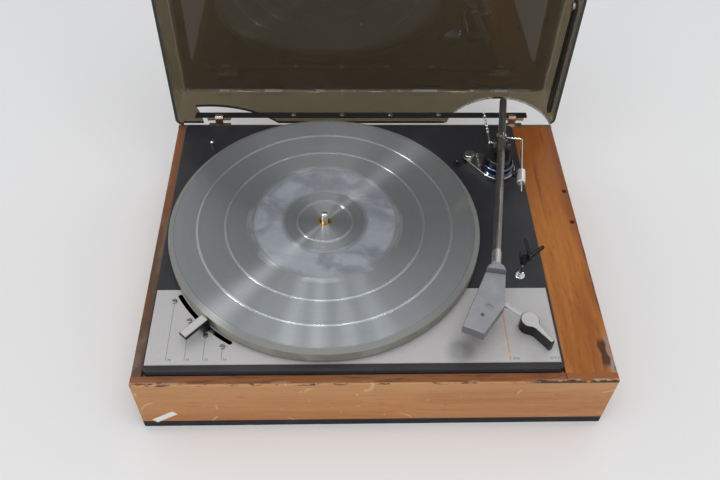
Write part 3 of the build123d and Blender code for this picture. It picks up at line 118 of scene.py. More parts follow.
# Words and stripe beside the switch, and how thick the print is
SWITCH_WORDS = ((0.1235, "ON"), (0.1575, "O F F"))
SWITCH_WORD_Y = -0.1535
SWITCH_WORD_SIZE = 0.0038
STRIPE_X = 0.1213
STRIPE_W = 0.0011
STRIPE_Y = (-0.1545, -0.0860)
PRINT_T = 0.00004
WELD = 1e-7

# Paper tag: width, height, place, lean, and how its right end lifts
TAG_W = 0.0265
TAG_H = 0.0068
TAG_T = 0.0001
TAG_PLACE = (-0.1957, FRONT_FACE - 0.00012, 0.0182)
TAG_LEAN = -36.0
TAG_LIFT_FROM = 0.36
TAG_LIFT = 0.012

# Camera, solved from the photograph
CAMERA_PLACE = (-0.033784, -0.523361, 0.682354)
CAMERA_TURN = (-2.52, 40.479, 1.676)
CAMERA_LENS = 38.964
SENSOR = 36.0

# Room: floor, light at the horizon and overhead, and the heights between which it changes
FLOOR_HALF = 6.0
FLOOR_WHITE = (0.88, 0.885, 0.89)
ROOM_WHITE = (0.99, 0.99, 1.0, 1.0)
HORIZON_LIGHT = 0.78
ZENITH_LIGHT = 0.62
HORIZON_UP = 0.05
ZENITH_UP = 0.85

# Lamps: place, target, size and power
TARGET = (0.0, 0.0, 0.1)
OVERHEAD = ((0.05, -0.45, 1.80), TARGET, (1.5, 1.1), 9.5)
LEFT_WINDOW = ((-1.35, -0.25, 1.25), TARGET, (0.26, 0.5), 17.0)
RIGHT_WINDOW = ((1.03, 1.47, 1.07), (0.08, 0.0, 0.1), (0.06, 0.3), 2.4)

# Strip lamps in a row over the object: place along X and power of each
CEILING_STRIPS = ((-0.60, 1.0), (-0.33, 1.6), (-0.12, 1.3), (0.10, 1.1), (0.36, 1.5), (0.72, 0.7))
STRIP_Y = 0.10
STRIP_Z = 1.70
STRIP_SIZE = (0.045, 0.5)

# Range that most of a noise's values lie in
NOISE_SPAN = (0.3, 0.7)

# Places of the colour inputs and output among a mix node's sockets
MIX_A = 6
MIX_B = 7
MIX_OUT = 2


class Graph:
    """Builds one material's nodes in short steps. A mask is 1 where something shows."""

    def __init__(self, name):
        self.mat = bpy.data.materials.new(name)
        self.mat.use_nodes = True
        self.tree = self.mat.node_tree
        self.shader = self.tree.nodes["Principled BSDF"]
        coords = self.tree.nodes.new("ShaderNodeTexCoord")
        self.place = coords.outputs["Object"]
        self.normal = coords.outputs["Normal"]
        self.x, self.y, self.z = self.split(self.place)

    def put(self, socket, value):
        """Link a socket to another, or set its fixed value."""
        if isinstance(value, bpy.types.NodeSocket):
            self.tree.links.new(value, socket)
        elif socket.type == "RGBA":
            socket.default_value = (*value[:3], 1.0)
        else:
            socket.default_value = value

    def node(self, kind, **inputs):
        """New node; its inputs are named with underscores for blanks."""
        made = self.tree.nodes.new(kind)
        for key, value in inputs.items():
            self.put(made.inputs[key.replace("_", " ")], value)
        return made

    def set(self, **inputs):
        """Fill the shader's inputs and give back the finished material."""
        for key, value in inputs.items():
            self.put(self.shader.inputs[key.replace("_", " ")], value)
        return self.mat

    def split(self, vector):
        return self.node("ShaderNodeSeparateXYZ", Vector=vector).outputs

    def vector(self, x, y, z):
        return self.node("ShaderNodeCombineXYZ", X=x, Y=y, Z=z).outputs[0]

    def math(self, operation, *values):
        made = self.tree.nodes.new("ShaderNodeMath")
        made.operation = operation
        for socket, value in zip(made.inputs, values):
            self.put(socket, value)
        return made.outputs[0]

    def chain(self, operation, values):
        """One sum, product or maximum over several values."""
        result = values[0]
        for value in values[1:]:
            result = self.math(operation, result, value)
        return result

    def total(self, *values):
        return self.chain("ADD", values)

    def product(self, *values):
        return self.chain("MULTIPLY", values)

    def largest(self, *values):
        return self.chain("MAXIMUM", values)

    def difference(self, a, b):
        return self.math("SUBTRACT", a, b)

    def size(self, value):
        return self.math("ABSOLUTE", value)

    def radius(self, x, y):
        """Distance in plan from a place."""
        dx = self.difference(self.x, x)
        dy = self.difference(self.y, y)
        return self.math("SQRT", self.total(self.product(dx, dx), self.product(dy, dy)))

    def scaled(self, x, y, z):
        """Places stretched or squeezed along each axis, to give a noise its direction."""
        return self.node("ShaderNodeMapping", Vector=self.place, Scale=(x, y, z)).outputs[0]

    def noise(self, place, scale, detail=3.0, roughness=0.55, distortion=0.0):
        made = self.node("ShaderNodeTexNoise", Vector=place, Scale=scale, Detail=detail,
                         Roughness=roughness, Distortion=distortion)
        return made.outputs["Fac"]

    def range(self, value, source, target, smooth=False):
        """Carry a value from one range to another and hold it at the ends."""
        made = self.node("ShaderNodeMapRange", Value=value, From_Min=source[0], From_Max=source[1],
                         To_Min=target[0], To_Max=target[1])
        if smooth:
            made.interpolation_type = "SMOOTHSTEP"
        return made.outputs["Result"]

    def step(self, value, low, high):
        """0 below low, 1 above high and smooth between; falls instead if low is above high."""
        if low < high:
            return self.range(value, (low, high), (0.0, 1.0), smooth=True)
        return self.range(value, (high, low), (1.0, 0.0), smooth=True)

    def above(self, value, edge, soft):
        """1 above an edge, which is soft by this much to each side."""
        return self.step(value, edge - soft, edge + soft)

    def below(self, value, edge, soft):
        """1 below an edge, which is soft by this much to each side."""
        return self.step(value, edge + soft, edge - soft)

    def between(self, value, low, high, soft):
        """1 between two soft edges."""
        return self.product(self.above(value, low, soft), self.below(value, high, soft))

    def near(self, value, centre, half):
        """1 where a value lies within half of a centre, with soft ends."""
        return self.below(self.size(self.difference(value, centre)), half, half * 0.25)

    def around(self, x, y, reach):
        """1 at a place in plan, fading to 0 at its reach."""
        return self.step(self.radius(x, y), reach, reach * 0.35)

    def patches(self, place, scale, detail, low, high):
        """1 in the patches where a noise runs high."""
        return self.step(self.noise(place, scale, detail), low, high)

    def contour(self, place, scale, width):
        """Thin lines that wander, where a noise crosses its middle value."""
        off = self.size(self.difference(self.noise(place, scale, detail=1.0), 0.5))
        return self.step(off, width, width * 0.4)

    def mix(self, share, a, b):
        """Colour a at share 0, b at share 1."""
        made = self.tree.nodes.new("ShaderNodeMix")
        made.data_type = "RGBA"
        self.put(made.inputs["Factor"], share)
        self.put(made.inputs[MIX_A], a)
        self.put(made.inputs[MIX_B], b)
        return made.outputs[MIX_OUT]

    def tint(self, colour, other, *masks, share):
        """Mix in a share of another colour where every mask is 1."""
        return self.mix(self.product(*masks, share), colour, other)

    def bump(self, height, distance, strength):
        made = self.node("ShaderNodeBump", Height=height, Distance=distance, Strength=strength)
        return made.outputs["Normal"]


def shaded(colour, share):
    """The same colour, darker."""
    return tuple(c * share for c in colour)


# Grain of each board: pale, middle and dark
FRONT_GRAIN = ((0.58, 0.305, 0.125), (0.55, 0.250, 0.092), (0.44, 0.175, 0.058))
SIDE_GRAIN = ((0.46, 0.24, 0.11), (0.38, 0.17, 0.072), (0.24, 0.09, 0.035))
LEDGE_GRAIN = ((0.58, 0.225, 0.036), (0.48, 0.160, 0.022), (0.25, 0.070, 0.009))
PORE_SHADE = (0.45, 0.40, 0.40)
PINE_PALE = (0.62, 0.45, 0.27)
PINE_DEEP = (0.44, 0.27, 0.13)
STAIN_BLACK = (0.014, 0.014, 0.016)
STAIN_DUST = (0.050, 0.047, 0.045)

# Where the plinth's wear lies, as depths from a face or edge and places along X, Y and Z
FACE_DEPTH = 0.0011
# Height on the front face from which it turns paler towards its top
BAND_FOOT = 0.040
SEAM_HALF_W = 0.0006
RUBBED_DEPTH = 0.0030
LEFT_SCUFF_REACH = 0.060
RIGHT_SCUFF_REACH = 0.085
CHIPPED_ALL_FROM = 0.140
CHIP_DROP = 0.0019
CHIP_DEPTH = 0.0016
CHIP_RAGGED = (-0.0012, 0.0016)
RIM_DROP = 0.0018
RIM_WARM_Y = (-0.06, 0.09)
LEDGE_REAR_Y = (-0.04, 0.14)
LEDGE_DROP = 0.0015
LEDGE_RAGGED = (-0.0018, 0.0018)
LEDGE_SCUFF_W = 0.0051
LEDGE_SCUFF_END = 0.051 - HALF_D
LEDGE_CORNER_PLACE = (HALF_W + 0.002, 0.008 - HALF_D)
LEDGE_CORNER_REACH = 0.022
LEDGE_STRIP_IN = 0.0082
LEDGE_STRIP_HALF_W = 0.0034
LEDGE_STRIP_Y = (0.016 - HALF_D, 0.044 - HALF_D)
LEDGE_LIP_W = 0.0017

# Front board's face: a paler tone towards its top, and its wear
FACE_PALER_UP = (0.62, 0.39, 0.18)
FACE_SOIL = (0.20, 0.08, 0.025)
FACE_LINE = (0.36, 0.135, 0.045)
FACE_DENT = (0.74, 0.50, 0.25)
FACE_SPOT = (0.74, 0.50, 0.27)

# Wear on the front board's top and along its edge
TOP_BROWN = (0.185, 0.055, 0.014)
TOP_STREAK = (0.085, 0.030, 0.014)
TOP_OVER_LEDGE = (0.33, 0.105, 0.020)
SEAM_DARK = (0.05, 0.020, 0.010)
EDGE_RUBBED = (0.44, 0.29, 0.17)
CORNER_SCUFF = (0.47, 0.38, 0.31)
EDGE_CHIP = (0.040, 0.016, 0.012)

# Wear on the left board's rim and on the rear board
RIM_GREY = (0.080, 0.042, 0.027)
RIM_PALE = (0.20, 0.145, 0.115)
RIM_RED = (0.21, 0.062, 0.018)
RIM_WARM = (0.30, 0.105, 0.030)
PLAIN_SOIL = (0.15, 0.055, 0.020)
PLAIN_RIM = (0.15, 0.055, 0.025)

# Wear on the side ledge
LEDGE_REAR = (0.25, 0.066, 0.010)
LEDGE_STREAK = (0.16, 0.045, 0.012)
LEDGE_LINE = (0.085, 0.026, 0.010)
LEDGE_SCUFF = (0.33, 0.245, 0.20)
LEDGE_CORNER = (0.36, 0.27, 0.21)
LEDGE_STRIP = (0.055, 0.014, 0.008)
LEDGE_CHIP = (0.05, 0.018, 0.010)


def veneer(name, along, grain, wear):
    """Open-grained wood with its grain along X or Y, worn by a function of its own."""
    g = Graph(name)
    pale, middle, dark = grain

    def run(lengthwise, across):
        """Places that draw a noise out along the grain."""
        if along == "x":
            return g.scaled(lengthwise, across, across)
        return g.scaled(across, lengthwise, across)

    fibre_run = run(1.0, 14.0)
    wave = g.noise(run(2.0, 5.0), scale=1.6, detail=2.0)
    drift = g.node("ShaderNodeVectorMath", Vector=fibre_run)
    drift.operation = "ADD"
    g.put(drift.inputs[1], g.vector(wave, wave, wave))
    figure = g.noise(drift.outputs[0], scale=3.2, detail=6.0, roughness=0.6)
    fibres = g.noise(fibre_run, scale=26.0, detail=4.0, roughness=0.7)
    pores = g.patches(run(1.5, 21.0), scale=58.0, detail=2.0, low=0.60, high=0.70)
    colour = g.mix(g.range(figure, (0.28, 0.52), (0.0, 1.0)), dark, middle)
    colour = g.mix(g.range(figure, (0.48, 0.76), (0.0, 1.0)), colour, pale)
    colour = g.mix(g.range(fibres, NOISE_SPAN, (0.42, 0.0)), colour, dark)
    pore_tone = tuple(c * s for c, s in zip(dark, PORE_SHADE))
    colour = g.tint(colour, pore_tone, pores, share=0.45)
    height = g.total(g.product(fibres, 0.6), g.product(pores, -0.5))
    return g.set(Base_Color=wear(g, colour), Roughness=g.range(fibres, NOISE_SPAN, (0.40, 0.58)),
                 Specular_IOR_Level=0.25, Normal=g.bump(height, distance=0.00025, strength=0.5))


def front_wear(g, colour):
    """Face paler towards its top and dented, scuffed top, and dark chips along the edge between
    them.
    """
    on_face = g.below(g.y, FRONT_FACE + FACE_DEPTH, soft=0.0005)
    # Face made paler towards its top
    colour = g.tint(colour, FACE_PALER_UP, on_face, g.step(g.z, BAND_FOOT, PLINTH_TOP), share=0.40)
    soil = g.patches(g.scaled(1.0, 1.0, 2.5), scale=34.0, detail=4.0, low=0.60, high=0.72)
    colour = g.tint(colour, FACE_SOIL, soil, share=0.22)
    colour = front_top_wear(g, colour, g.difference(1.0, on_face))
    colour = front_edge_chips(g, colour)
    lines = g.patches(g.scaled(1.0, 1.0, 90.0), scale=5.0, detail=3.0, low=0.50, high=0.70)
    colour = g.tint(colour, FACE_LINE, lines, on_face, share=0.30)
    wandering = g.contour(g.scaled(1.0, 1.0, 0.7), scale=15.0, width=0.010)
    broken = g.patches(g.place, scale=46.0, detail=1.0, low=0.55, high=0.60)
    colour = g.tint(colour, FACE_DENT, wandering, broken, on_face, share=0.55)
    spots = g.patches(g.scaled(1.3, 1.0, 0.9), scale=120.0, detail=2.0, low=0.70, high=0.76)
    return g.tint(colour, FACE_SPOT, spots, on_face, share=0.6)


def front_top_wear(g, colour, top):
    """Brown top with dark streaks, the ledge's tone beyond its seam, and pale rubs at the front."""
    colour = g.tint(colour, TOP_BROWN, top, share=0.75)
    streaks = g.patches(g.scaled(3.0, 40.0, 1.0), scale=12.0, detail=4.0, low=0.48, high=0.66)
    colour = g.tint(colour, TOP_STREAK, top, streaks, share=0.6)
    colour = g.tint(colour, TOP_OVER_LEDGE, top, g.above(g.x, LEDGE_X, soft=0.0004), share=0.8)
    colour = g.tint(colour, SEAM_DARK, top, g.near(g.x, LEDGE_X, half=SEAM_HALF_W), share=0.8)
    edge = g.below(g.y, FRONT_FACE + RUBBED_DEPTH, soft=0.0012)
    rubbed = g.patches(g.scaled(1.0, 2.5, 1.0), scale=40.0, detail=5.0, low=0.50, high=0.60)
    colour = g.tint(colour, EDGE_RUBBED, top, edge, rubbed, share=0.5)
    corners = g.largest(g.around(-HALF_W, -HALF_D, LEFT_SCUFF_REACH),
                        g.around(HALF_W, -HALF_D, RIGHT_SCUFF_REACH))
    scuffs = g.patches(g.scaled(1.0, 2.0, 1.0), scale=75.0, detail=5.0, low=0.44, high=0.56)
    return g.tint(colour, CORNER_SCUFF, corners, top, edge, scuffs, share=0.85)


def front_edge_chips(g, colour):
    """Dark ragged chips where the front face meets the top, all along its right end."""
    chips = g.patches(g.scaled(1.0, 3.0, 3.0), scale=60.0, detail=5.0, low=0.52, high=0.60)
    chips = g.largest(chips, g.above(g.x, CHIPPED_ALL_FROM, soft=0.010))
    ragged = g.range(g.noise(g.place, scale=160.0, detail=4.0), NOISE_SPAN, CHIP_RAGGED)
    inwards = g.total(g.difference(g.y, FRONT_FACE), ragged)
    high = g.above(g.z, PLINTH_TOP - CHIP_DROP, soft=0.0007)
    outer = g.below(inwards, CHIP_DEPTH, soft=0.0004)
    return g.tint(colour, EDGE_CHIP, high, outer, chips, share=0.9)


def top_rim(g):
    """1 along a board's top edge."""
    return g.above(g.z, PLINTH_TOP - RIM_DROP, soft=0.0012)


def rim_wear(g, colour):
    """Greyed and stained top edge of the left board, warmer towards the back."""
    top = top_rim(g)
    blotch = g.noise(g.scaled(1.6, 0.7, 1.0), scale=26.0, detail=5.0)
    colour = g.tint(colour, RIM_GREY, top, share=0.85)
    colour = g.tint(colour, RIM_PALE, top, g.step(blotch, 0.52, 0.62), share=0.65)
    colour = g.tint(colour, RIM_RED, top, g.step(blotch, 0.48, 0.38), share=0.7)
    return g.tint(colour, RIM_WARM, top, g.step(g.y, *RIM_WARM_Y), share=0.6)


def ledge_wear(g, colour):
    """Dark streaks along the grain; a dark strip, a greyed scuff and chips at the right edge."""
    colour = g.tint(colour, LEDGE_REAR, g.step(g.y, *LEDGE_REAR_Y), share=0.65)
    streaks = g.patches(g.scaled(30.0, 2.2, 1.0), scale=1.3, detail=3.0, low=0.50, high=0.72)
    colour = g.tint(colour, LEDGE_STREAK, streaks, share=0.45)
    lines = g.patches(g.scaled(90.0, 5.0, 1.0), scale=1.6, detail=3.0, low=0.60, high=0.72)
    colour = g.tint(colour, LEDGE_LINE, lines, share=0.55)
    blotch = g.noise(g.place, scale=70.0, detail=5.0)
    top = g.above(g.z, PLINTH_TOP - LEDGE_DROP, soft=0.0007)
    from_edge = g.total(g.difference(HALF_W, g.x), g.range(blotch, NOISE_SPAN, LEDGE_RAGGED))
    at_edge = g.below(from_edge, LEDGE_SCUFF_W, soft=0.0007)
    at_front = g.below(g.y, LEDGE_SCUFF_END, soft=0.007)
    uneven = g.range(blotch, (0.35, 0.6), (0.35, 0.85))
    colour = g.tint(colour, LEDGE_SCUFF, at_edge, at_front, top, share=uneven)
    corner = g.around(*LEDGE_CORNER_PLACE, LEDGE_CORNER_REACH)
    colour = g.tint(colour, LEDGE_CORNER, corner, g.step(blotch, 0.40, 0.52), top, share=0.75)
    strip = g.near(from_edge, LEDGE_STRIP_IN, half=LEDGE_STRIP_HALF_W)
    stretch = g.between(g.y, *LEDGE_STRIP_Y, soft=0.004)
    colour = g.tint(colour, LEDGE_STRIP, strip, stretch, share=0.9)
    lip = g.above(g.x, HALF_W - LEDGE_LIP_W, soft=0.0009)
    chips = g.patches(g.scaled(3.0, 1.0, 3.0), scale=55.0, detail=5.0, low=0.50, high=0.60)
    return g.tint(colour, LEDGE_CHIP, lip, chips, top, share=0.8)


def plain_wear(g, colour):
    """Soiling in patches, darker along the top edge."""
    soil = g.patches(g.place, scale=24.0, detail=4.0, low=0.55, high=0.68)
    colour = g.tint(colour, PLAIN_SOIL, soil, share=0.35)
    return g.tint(colour, PLAIN_RIM, top_rim(g), share=0.55)


def softwood():
    """Bare planed softwood with its grain along X."""
    g = Graph("softwood")
    run = g.scaled(1.0, 20.0, 20.0)
    rings = g.step(g.noise(run, scale=2.6, detail=5.0), 0.35, 0.65)
    fibres = g.noise(run, scale=24.0, detail=3.0)
    return g.set(Base_Color=g.mix(rings, PINE_PALE, PINE_DEEP),
                 Roughness=g.range(fibres, NOISE_SPAN, (0.6, 0.75)),
                 Normal=g.bump(fibres, distance=0.0002, strength=0.4))


def stained_board():
    """Black stained board with a faint fibre and a little dust."""
    g = Graph("stained_board")
    fibres = g.noise(g.scaled(1.0, 6.0, 6.0), scale=60.0, detail=4.0)
    dust = g.patches(g.place, scale=45.0, detail=5.0, low=0.55, high=0.70)
    colour = g.tint(STAIN_BLACK, STAIN_DUST, dust, share=0.30)
    return g.set(Base_Color=colour, Roughness=g.range(fibres, NOISE_SPAN, (0.45, 0.65)),
                 Specular_IOR_Level=0.2, Normal=g.bump(fibres, distance=0.0002, strength=0.5))


# Deck enamel: where its skirt begins, its two greys, the grain's, the skirt's painted light and the
# dust's
SKIRT_DROP = 0.0006
ENAMEL_DARK = (0.022, 0.023, 0.028)
ENAMEL_SMUDGED = (0.036, 0.037, 0.042)
ENAMEL_GRAIN = (0.045, 0.046, 0.051)
# Skirt painted lighter than the enamel above it: painted light
SKIRT_PAINTED_LIGHT = (0.042, 0.042, 0.047)
ENAMEL_DUST = (0.34, 0.33, 0.32)


def deck_enamel():
    """Dark grey enamel with a fine leather-like grain, dust, faint smudges and a glossier skirt,
    painted lighter as painted light.
    """
    g = Graph("deck_enamel")
    grain = g.noise(g.place, scale=1500.0, detail=2.0, roughness=0.6)
    cells = g.node("ShaderNodeTexVoronoi", Vector=g.place, Scale=900.0).outputs["Distance"]
    smudge = g.noise(g.place, scale=13.0, detail=4.0)
    skirt = g.below(g.z, DECK_TOP - SKIRT_DROP, soft=0.0004)
    colour = g.mix(g.step(smudge, 0.42, 0.66), ENAMEL_DARK, ENAMEL_SMUDGED)
    colour = g.mix(g.range(grain, (0.35, 0.65), (0.0, 0.30)), colour, ENAMEL_GRAIN)
    dust = g.patches(g.place, scale=900.0, detail=1.0, low=0.70, high=0.76)
    colour = g.tint(colour, ENAMEL_DUST, dust, share=0.25)
    # Skirt painted lighter: painted light on the deck's front edge
    colour = g.tint(colour, SKIRT_PAINTED_LIGHT, skirt, share=0.8)
    rough = g.difference(g.range(smudge, NOISE_SPAN, (0.44, 0.58)), g.product(skirt, 0.26))
    height = g.total(g.product(cells, 0.8), g.product(grain, 0.4))
    return g.set(Base_Color=colour, Roughness=rough, Specular_IOR_Level=0.24,
                 Normal=g.bump(height, distance=0.00012, strength=0.45))


# Brushed aluminium of the panel and of the knobs' caps
PANEL_PALE = (0.52, 0.51, 0.515)
PANEL_DEEP = (0.46, 0.45, 0.455)
CAP_TONE = (0.54, 0.53, 0.51)
METAL_SPECK = (0.36, 0.35, 0.35)

# Wear and a painted shadow on the panel: width of its rims, place and reach of each stain and of
# the shadow under the head, then colours
PANEL_RIM_W = 0.00075
SWITCH_STAIN = (0.086, -0.150, 0.052)
SWITCH_GRIME = (0.150, -0.128, 0.045)
# Place and reach of the painted shadow under the head
HEAD_SHADOW_SPOT = (0.077, -0.145, 0.018)
STAIN_BROWN = (0.33, 0.29, 0.25)
GRIME_BROWN = (0.30, 0.26, 0.20)
HEAD_SHADOW_GREY = (0.115, 0.115, 0.115)
FLECK_BROWN = (0.14, 0.12, 0.11)
CLOUD_GREY = (0.42, 0.40, 0.37)
PANEL_RIM_BROWN = (0.40, 0.30, 0.19)


def lacquered(name, pale, deep, wear=None):
    """Brushed aluminium under lacquer, with fine specks and, where given, its own wear."""
    g = Graph(name)
    brush = g.noise(g.scaled(1.0, 60.0, 1.0), scale=60.0, detail=3.0)
    colour = g.mix(g.range(brush, NOISE_SPAN, (0.0, 1.0)), deep, pale)
    specks = g.patches(g.place, scale=2200.0, detail=1.0, low=0.62, high=0.74)
    colour = g.mix(specks, colour, METAL_SPECK)
    if wear is not None:
        colour = wear(g, colour)
    return g.set(Base_Color=colour, Metallic=0.25,
                 Roughness=g.range(brush, NOISE_SPAN, (0.40, 0.52)),
                 Normal=g.bump(brush, distance=0.00004, strength=0.4))


def panel_wear(g, colour):
    """Stains, grime and flecks near the switch, a painted shadow under the head, a cloudy lacquer
    and two brown rims.
    """
    cloud = g.noise(g.place, scale=30.0, detail=5.0)
    stain = g.product(g.around(*SWITCH_STAIN), g.step(cloud, 0.38, 0.60))
    colour = g.tint(colour, STAIN_BROWN, stain, share=0.18)
    grime = g.product(g.around(*SWITCH_GRIME), g.step(cloud, 0.44, 0.62))
    colour = g.tint(colour, GRIME_BROWN, grime, share=0.20)
    # Painted shadow of the head on the panel, made uneven by the cloud noise
    head_shadow = g.product(g.around(*HEAD_SHADOW_SPOT), g.range(cloud, (0.25, 0.60), (0.4, 1.0)))
    colour = g.tint(colour, HEAD_SHADOW_GREY, head_shadow, share=0.62)
    flecks = g.patches(g.place, scale=520.0, detail=2.0, low=0.72, high=0.77)
    colour = g.tint(colour, FLECK_BROWN, flecks, g.step(cloud, 0.44, 0.58), share=0.6)
    colour = g.tint(colour, CLOUD_GREY, g.step(cloud, 0.56, 0.72), share=0.12)
    rim = g.largest(g.below(g.y, PANEL_LO.y + PANEL_RIM_W, soft=0.00045),
                    g.above(g.x, PANEL_HI.x - PANEL_RIM_W, soft=0.00045))
    return g.tint(colour, PANEL_RIM_BROWN, rim, share=0.45)


# Platter: turned metal, label ring, ridges, bush, bevel and side
TURNED_DARK = (0.30, 0.32, 0.34)
TURNED_PALE = (0.36, 0.38, 0.40)
GROOVE_GREY = (0.30, 0.315, 0.33)
GLUE_DARK = (0.195, 0.213, 0.238)
GLUE_PALE = (0.375, 0.405, 0.448)
GLUE_GRAIN = (0.27, 0.29, 0.32)
RING_DARK = (0.20, 0.21, 0.225)
RING_PALE = (0.52, 0.545, 0.57)
# Painted highlight on the ridges
RIDGE_HIGHLIGHT = (0.72, 0.75, 0.79)
BUSH_BRASS = (0.42, 0.27, 0.10)
BEVEL_GREY = (0.21, 0.212, 0.192)
RIM_LINE_GREY = (0.22, 0.22, 0.21)
SIDE_DARK = (0.21, 0.207, 0.168)
SIDE_PALE = (0.31, 0.305, 0.255)


def turned_platter():
    """Turned alloy with fine grooves, painted highlights on its ridges, a cloudy label ring and a
    yellowed rim.
    """
    g = Graph("turned_platter")
    r = g.radius(PLATTER_CENTRE.x, PLATTER_CENTRE.y)
    by_radius = g.vector(r, 0.0, 0.0)
    grooves = g.noise(by_radius, scale=2600.0, detail=3.0, roughness=0.7)
    cloud = g.noise(g.place, scale=24.0, detail=6.0, roughness=0.62, distortion=0.6)
    fine = g.noise(g.place, scale=120.0, detail=3.0)
    label = g.near(r, (LABEL_IN + LABEL_OUT) / 2, half=(LABEL_OUT - LABEL_IN) / 2)
    ridge = g.largest(*[g.near(r, radius, half=RIDGE_HALF_W) for radius in RIDGE_RADII])
    bevel = g.above(r, RIM_RADIUS, soft=0.0004)
    colour = g.mix(g.noise(by_radius, scale=240.0, detail=2.0), TURNED_DARK, TURNED_PALE)
    colour = g.mix(g.range(grooves, (0.35, 0.65), (0.0, 0.28)), colour, GROOVE_GREY)
    glue = g.mix(g.step(cloud, 0.40, 0.60), GLUE_DARK, GLUE_PALE)
    glue = g.mix(g.range(fine, NOISE_SPAN, (0.0, 0.35)), glue, GLUE_GRAIN)
    colour = g.tint(colour, glue, label, share=0.85)
    dark_ring = g.near(r, DARK_RING_RADIUS, half=DARK_RING_HALF_W)
    colour = g.tint(colour, RING_DARK, dark_ring, g.step(cloud, 0.36, 0.60), share=0.6)
    pale_ring = g.near(r, PALE_RING_RADIUS, half=PALE_RING_HALF_W)
    colour = g.tint(colour, RING_PALE, pale_ring, g.step(cloud, 0.46, 0.58), share=0.6)
    # Ridges painted bright: painted highlight
    colour = g.tint(colour, RIDGE_HIGHLIGHT, ridge, share=0.9)
    bush = g.product(g.below(r, BUSH_RADIUS, soft=0.0004), g.step(fine, 0.36, 0.48))
    colour = g.mix(bush, colour, BUSH_BRASS)
    colour = g.tint(colour, BEVEL_GREY, bevel, share=0.7)
    line = g.near(r, RIM_LINE_RADIUS, half=RIM_LINE_HALF_W)
    colour = g.tint(colour, RIM_LINE_GREY, line, share=0.5)
    side = g.mix(g.step(cloud, 0.35, 0.65), SIDE_DARK, SIDE_PALE)
    colour = g.mix(g.above(r, SIDE_FROM, soft=0.0002), colour, side)
    rough = g.total(0.27, g.product(label, 0.33), g.product(bevel, 0.16), g.product(ridge, -0.04))
    metallic = g.total(0.62, g.product(label, -0.52), g.product(bevel, -0.48),
                       g.product(ridge, 0.2))
    tangent = g.tree.nodes.new("ShaderNodeTangent")
    tangent.direction_type = "RADIAL"
    tangent.axis = "Z"
    return g.set(Base_Color=colour, Metallic=metallic, Roughness=rough, Anisotropic=1.0,
                 Anisotropic_Rotation=0.25, Tangent=tangent.outputs[0],
                 Normal=g.bump(grooves, distance=0.00003, strength=0.35))


def metal(name, colour, roughness, tarnish=None):
    """Metal with a fine finish and, where a tarnish is given, patches of it."""
    g = Graph(name)
    fine = g.noise(g.place, scale=700.0, detail=3.0)
    cloud = g.noise(g.place, scale=55.0, detail=4.0)
    shade = g.mix(g.range(cloud, NOISE_SPAN, (0.0, 0.35)), colour, shaded(colour, 0.78))
    if tarnish is not None:
        shade = g.tint(shade, tarnish, g.step(cloud, 0.52, 0.68), share=0.6)
    rough = g.range(cloud, NOISE_SPAN, (roughness * 0.8, roughness * 1.25))
    return g.set(Base_Color=shade, Metallic=1.0, Roughness=rough,
                 Normal=g.bump(fine, distance=0.00002, strength=0.4))


def enamel(name, colour, roughness):
    """Smooth or satin paint with a slight unevenness and rubbed spots."""
    g = Graph(name)
    fine = g.noise(g.place, scale=500.0, detail=3.0)
    cloud = g.noise(g.place, scale=60.0, detail=4.0)
    shade = g.mix(g.range(cloud, NOISE_SPAN, (0.0, 0.5)), colour, shaded(colour, 0.82))
    spots = g.patches(g.place, scale=420.0, detail=2.0, low=0.70, high=0.76)
    shade = g.tint(shade, shaded(colour, 0.6), spots, share=0.35)
    rough = g.range(cloud, NOISE_SPAN, (roughness * 0.85, roughness * 1.2))
    return g.set(Base_Color=shade, Roughness=rough,
                 Normal=g.bump(fine, distance=0.00005, strength=0.4))


def moulded(name, colour, roughness):
    """Moulded plastic or rubber with a fine texture and a little dust, which dulls it."""
    g = Graph(name)
    fine = g.noise(g.place, scale=1300.0, detail=2.0)
    dust = g.patches(g.place, scale=160.0, detail=5.0, low=0.58, high=0.72)
    shade = g.tint(colour, tuple(c + 0.03 for c in colour), dust, share=0.25)
    rough = g.range(dust, (0.0, 1.0), (roughness, roughness + 0.15))
    return g.set(Base_Color=shade, Roughness=rough, Specular_IOR_Level=0.28,
                 Normal=g.bump(fine, distance=0.00003, strength=0.4))


def spindle_metal():
    """Bright peg over a bush that has gone brassy at its top."""
    g = Graph("spindle_metal")
    cloud = g.noise(g.place, scale=400.0, detail=4.0)
    brass = g.mix(g.step(cloud, 0.40, 0.60), (0.50, 0.31, 0.09), (0.28, 0.15, 0.05))
    beyond_peg = g.above(g.radius(PLATTER_CENTRE.x, PLATTER_CENTRE.y), PEG_RADIUS, soft=0.00005)
    return g.set(Base_Color=g.mix(beyond_peg, (0.70, 0.69, 0.67), brass), Metallic=1.0,
                 Roughness=0.22, Normal=g.bump(cloud, distance=0.00002, strength=0.3))


# Head's enamel and the arm's metal
HEAD_DARK = (0.258, 0.266, 0.284)
HEAD_PALE = (0.318, 0.326, 0.344)
HEAD_PIT = (0.16, 0.16, 0.17)
# Painted shade on the head's sides
HEAD_SIDE_SHADE = (0.095, 0.100, 0.098)
HEAD_DISH_GREY = (0.20, 0.205, 0.205)
TUBE_DARK = (0.18, 0.176, 0.168)
TUBE_PALE = (0.28, 0.276, 0.265)
TUBE_TARNISH = (0.16, 0.15, 0.14)
SLEEVE_PALE = (0.62, 0.62, 0.60)


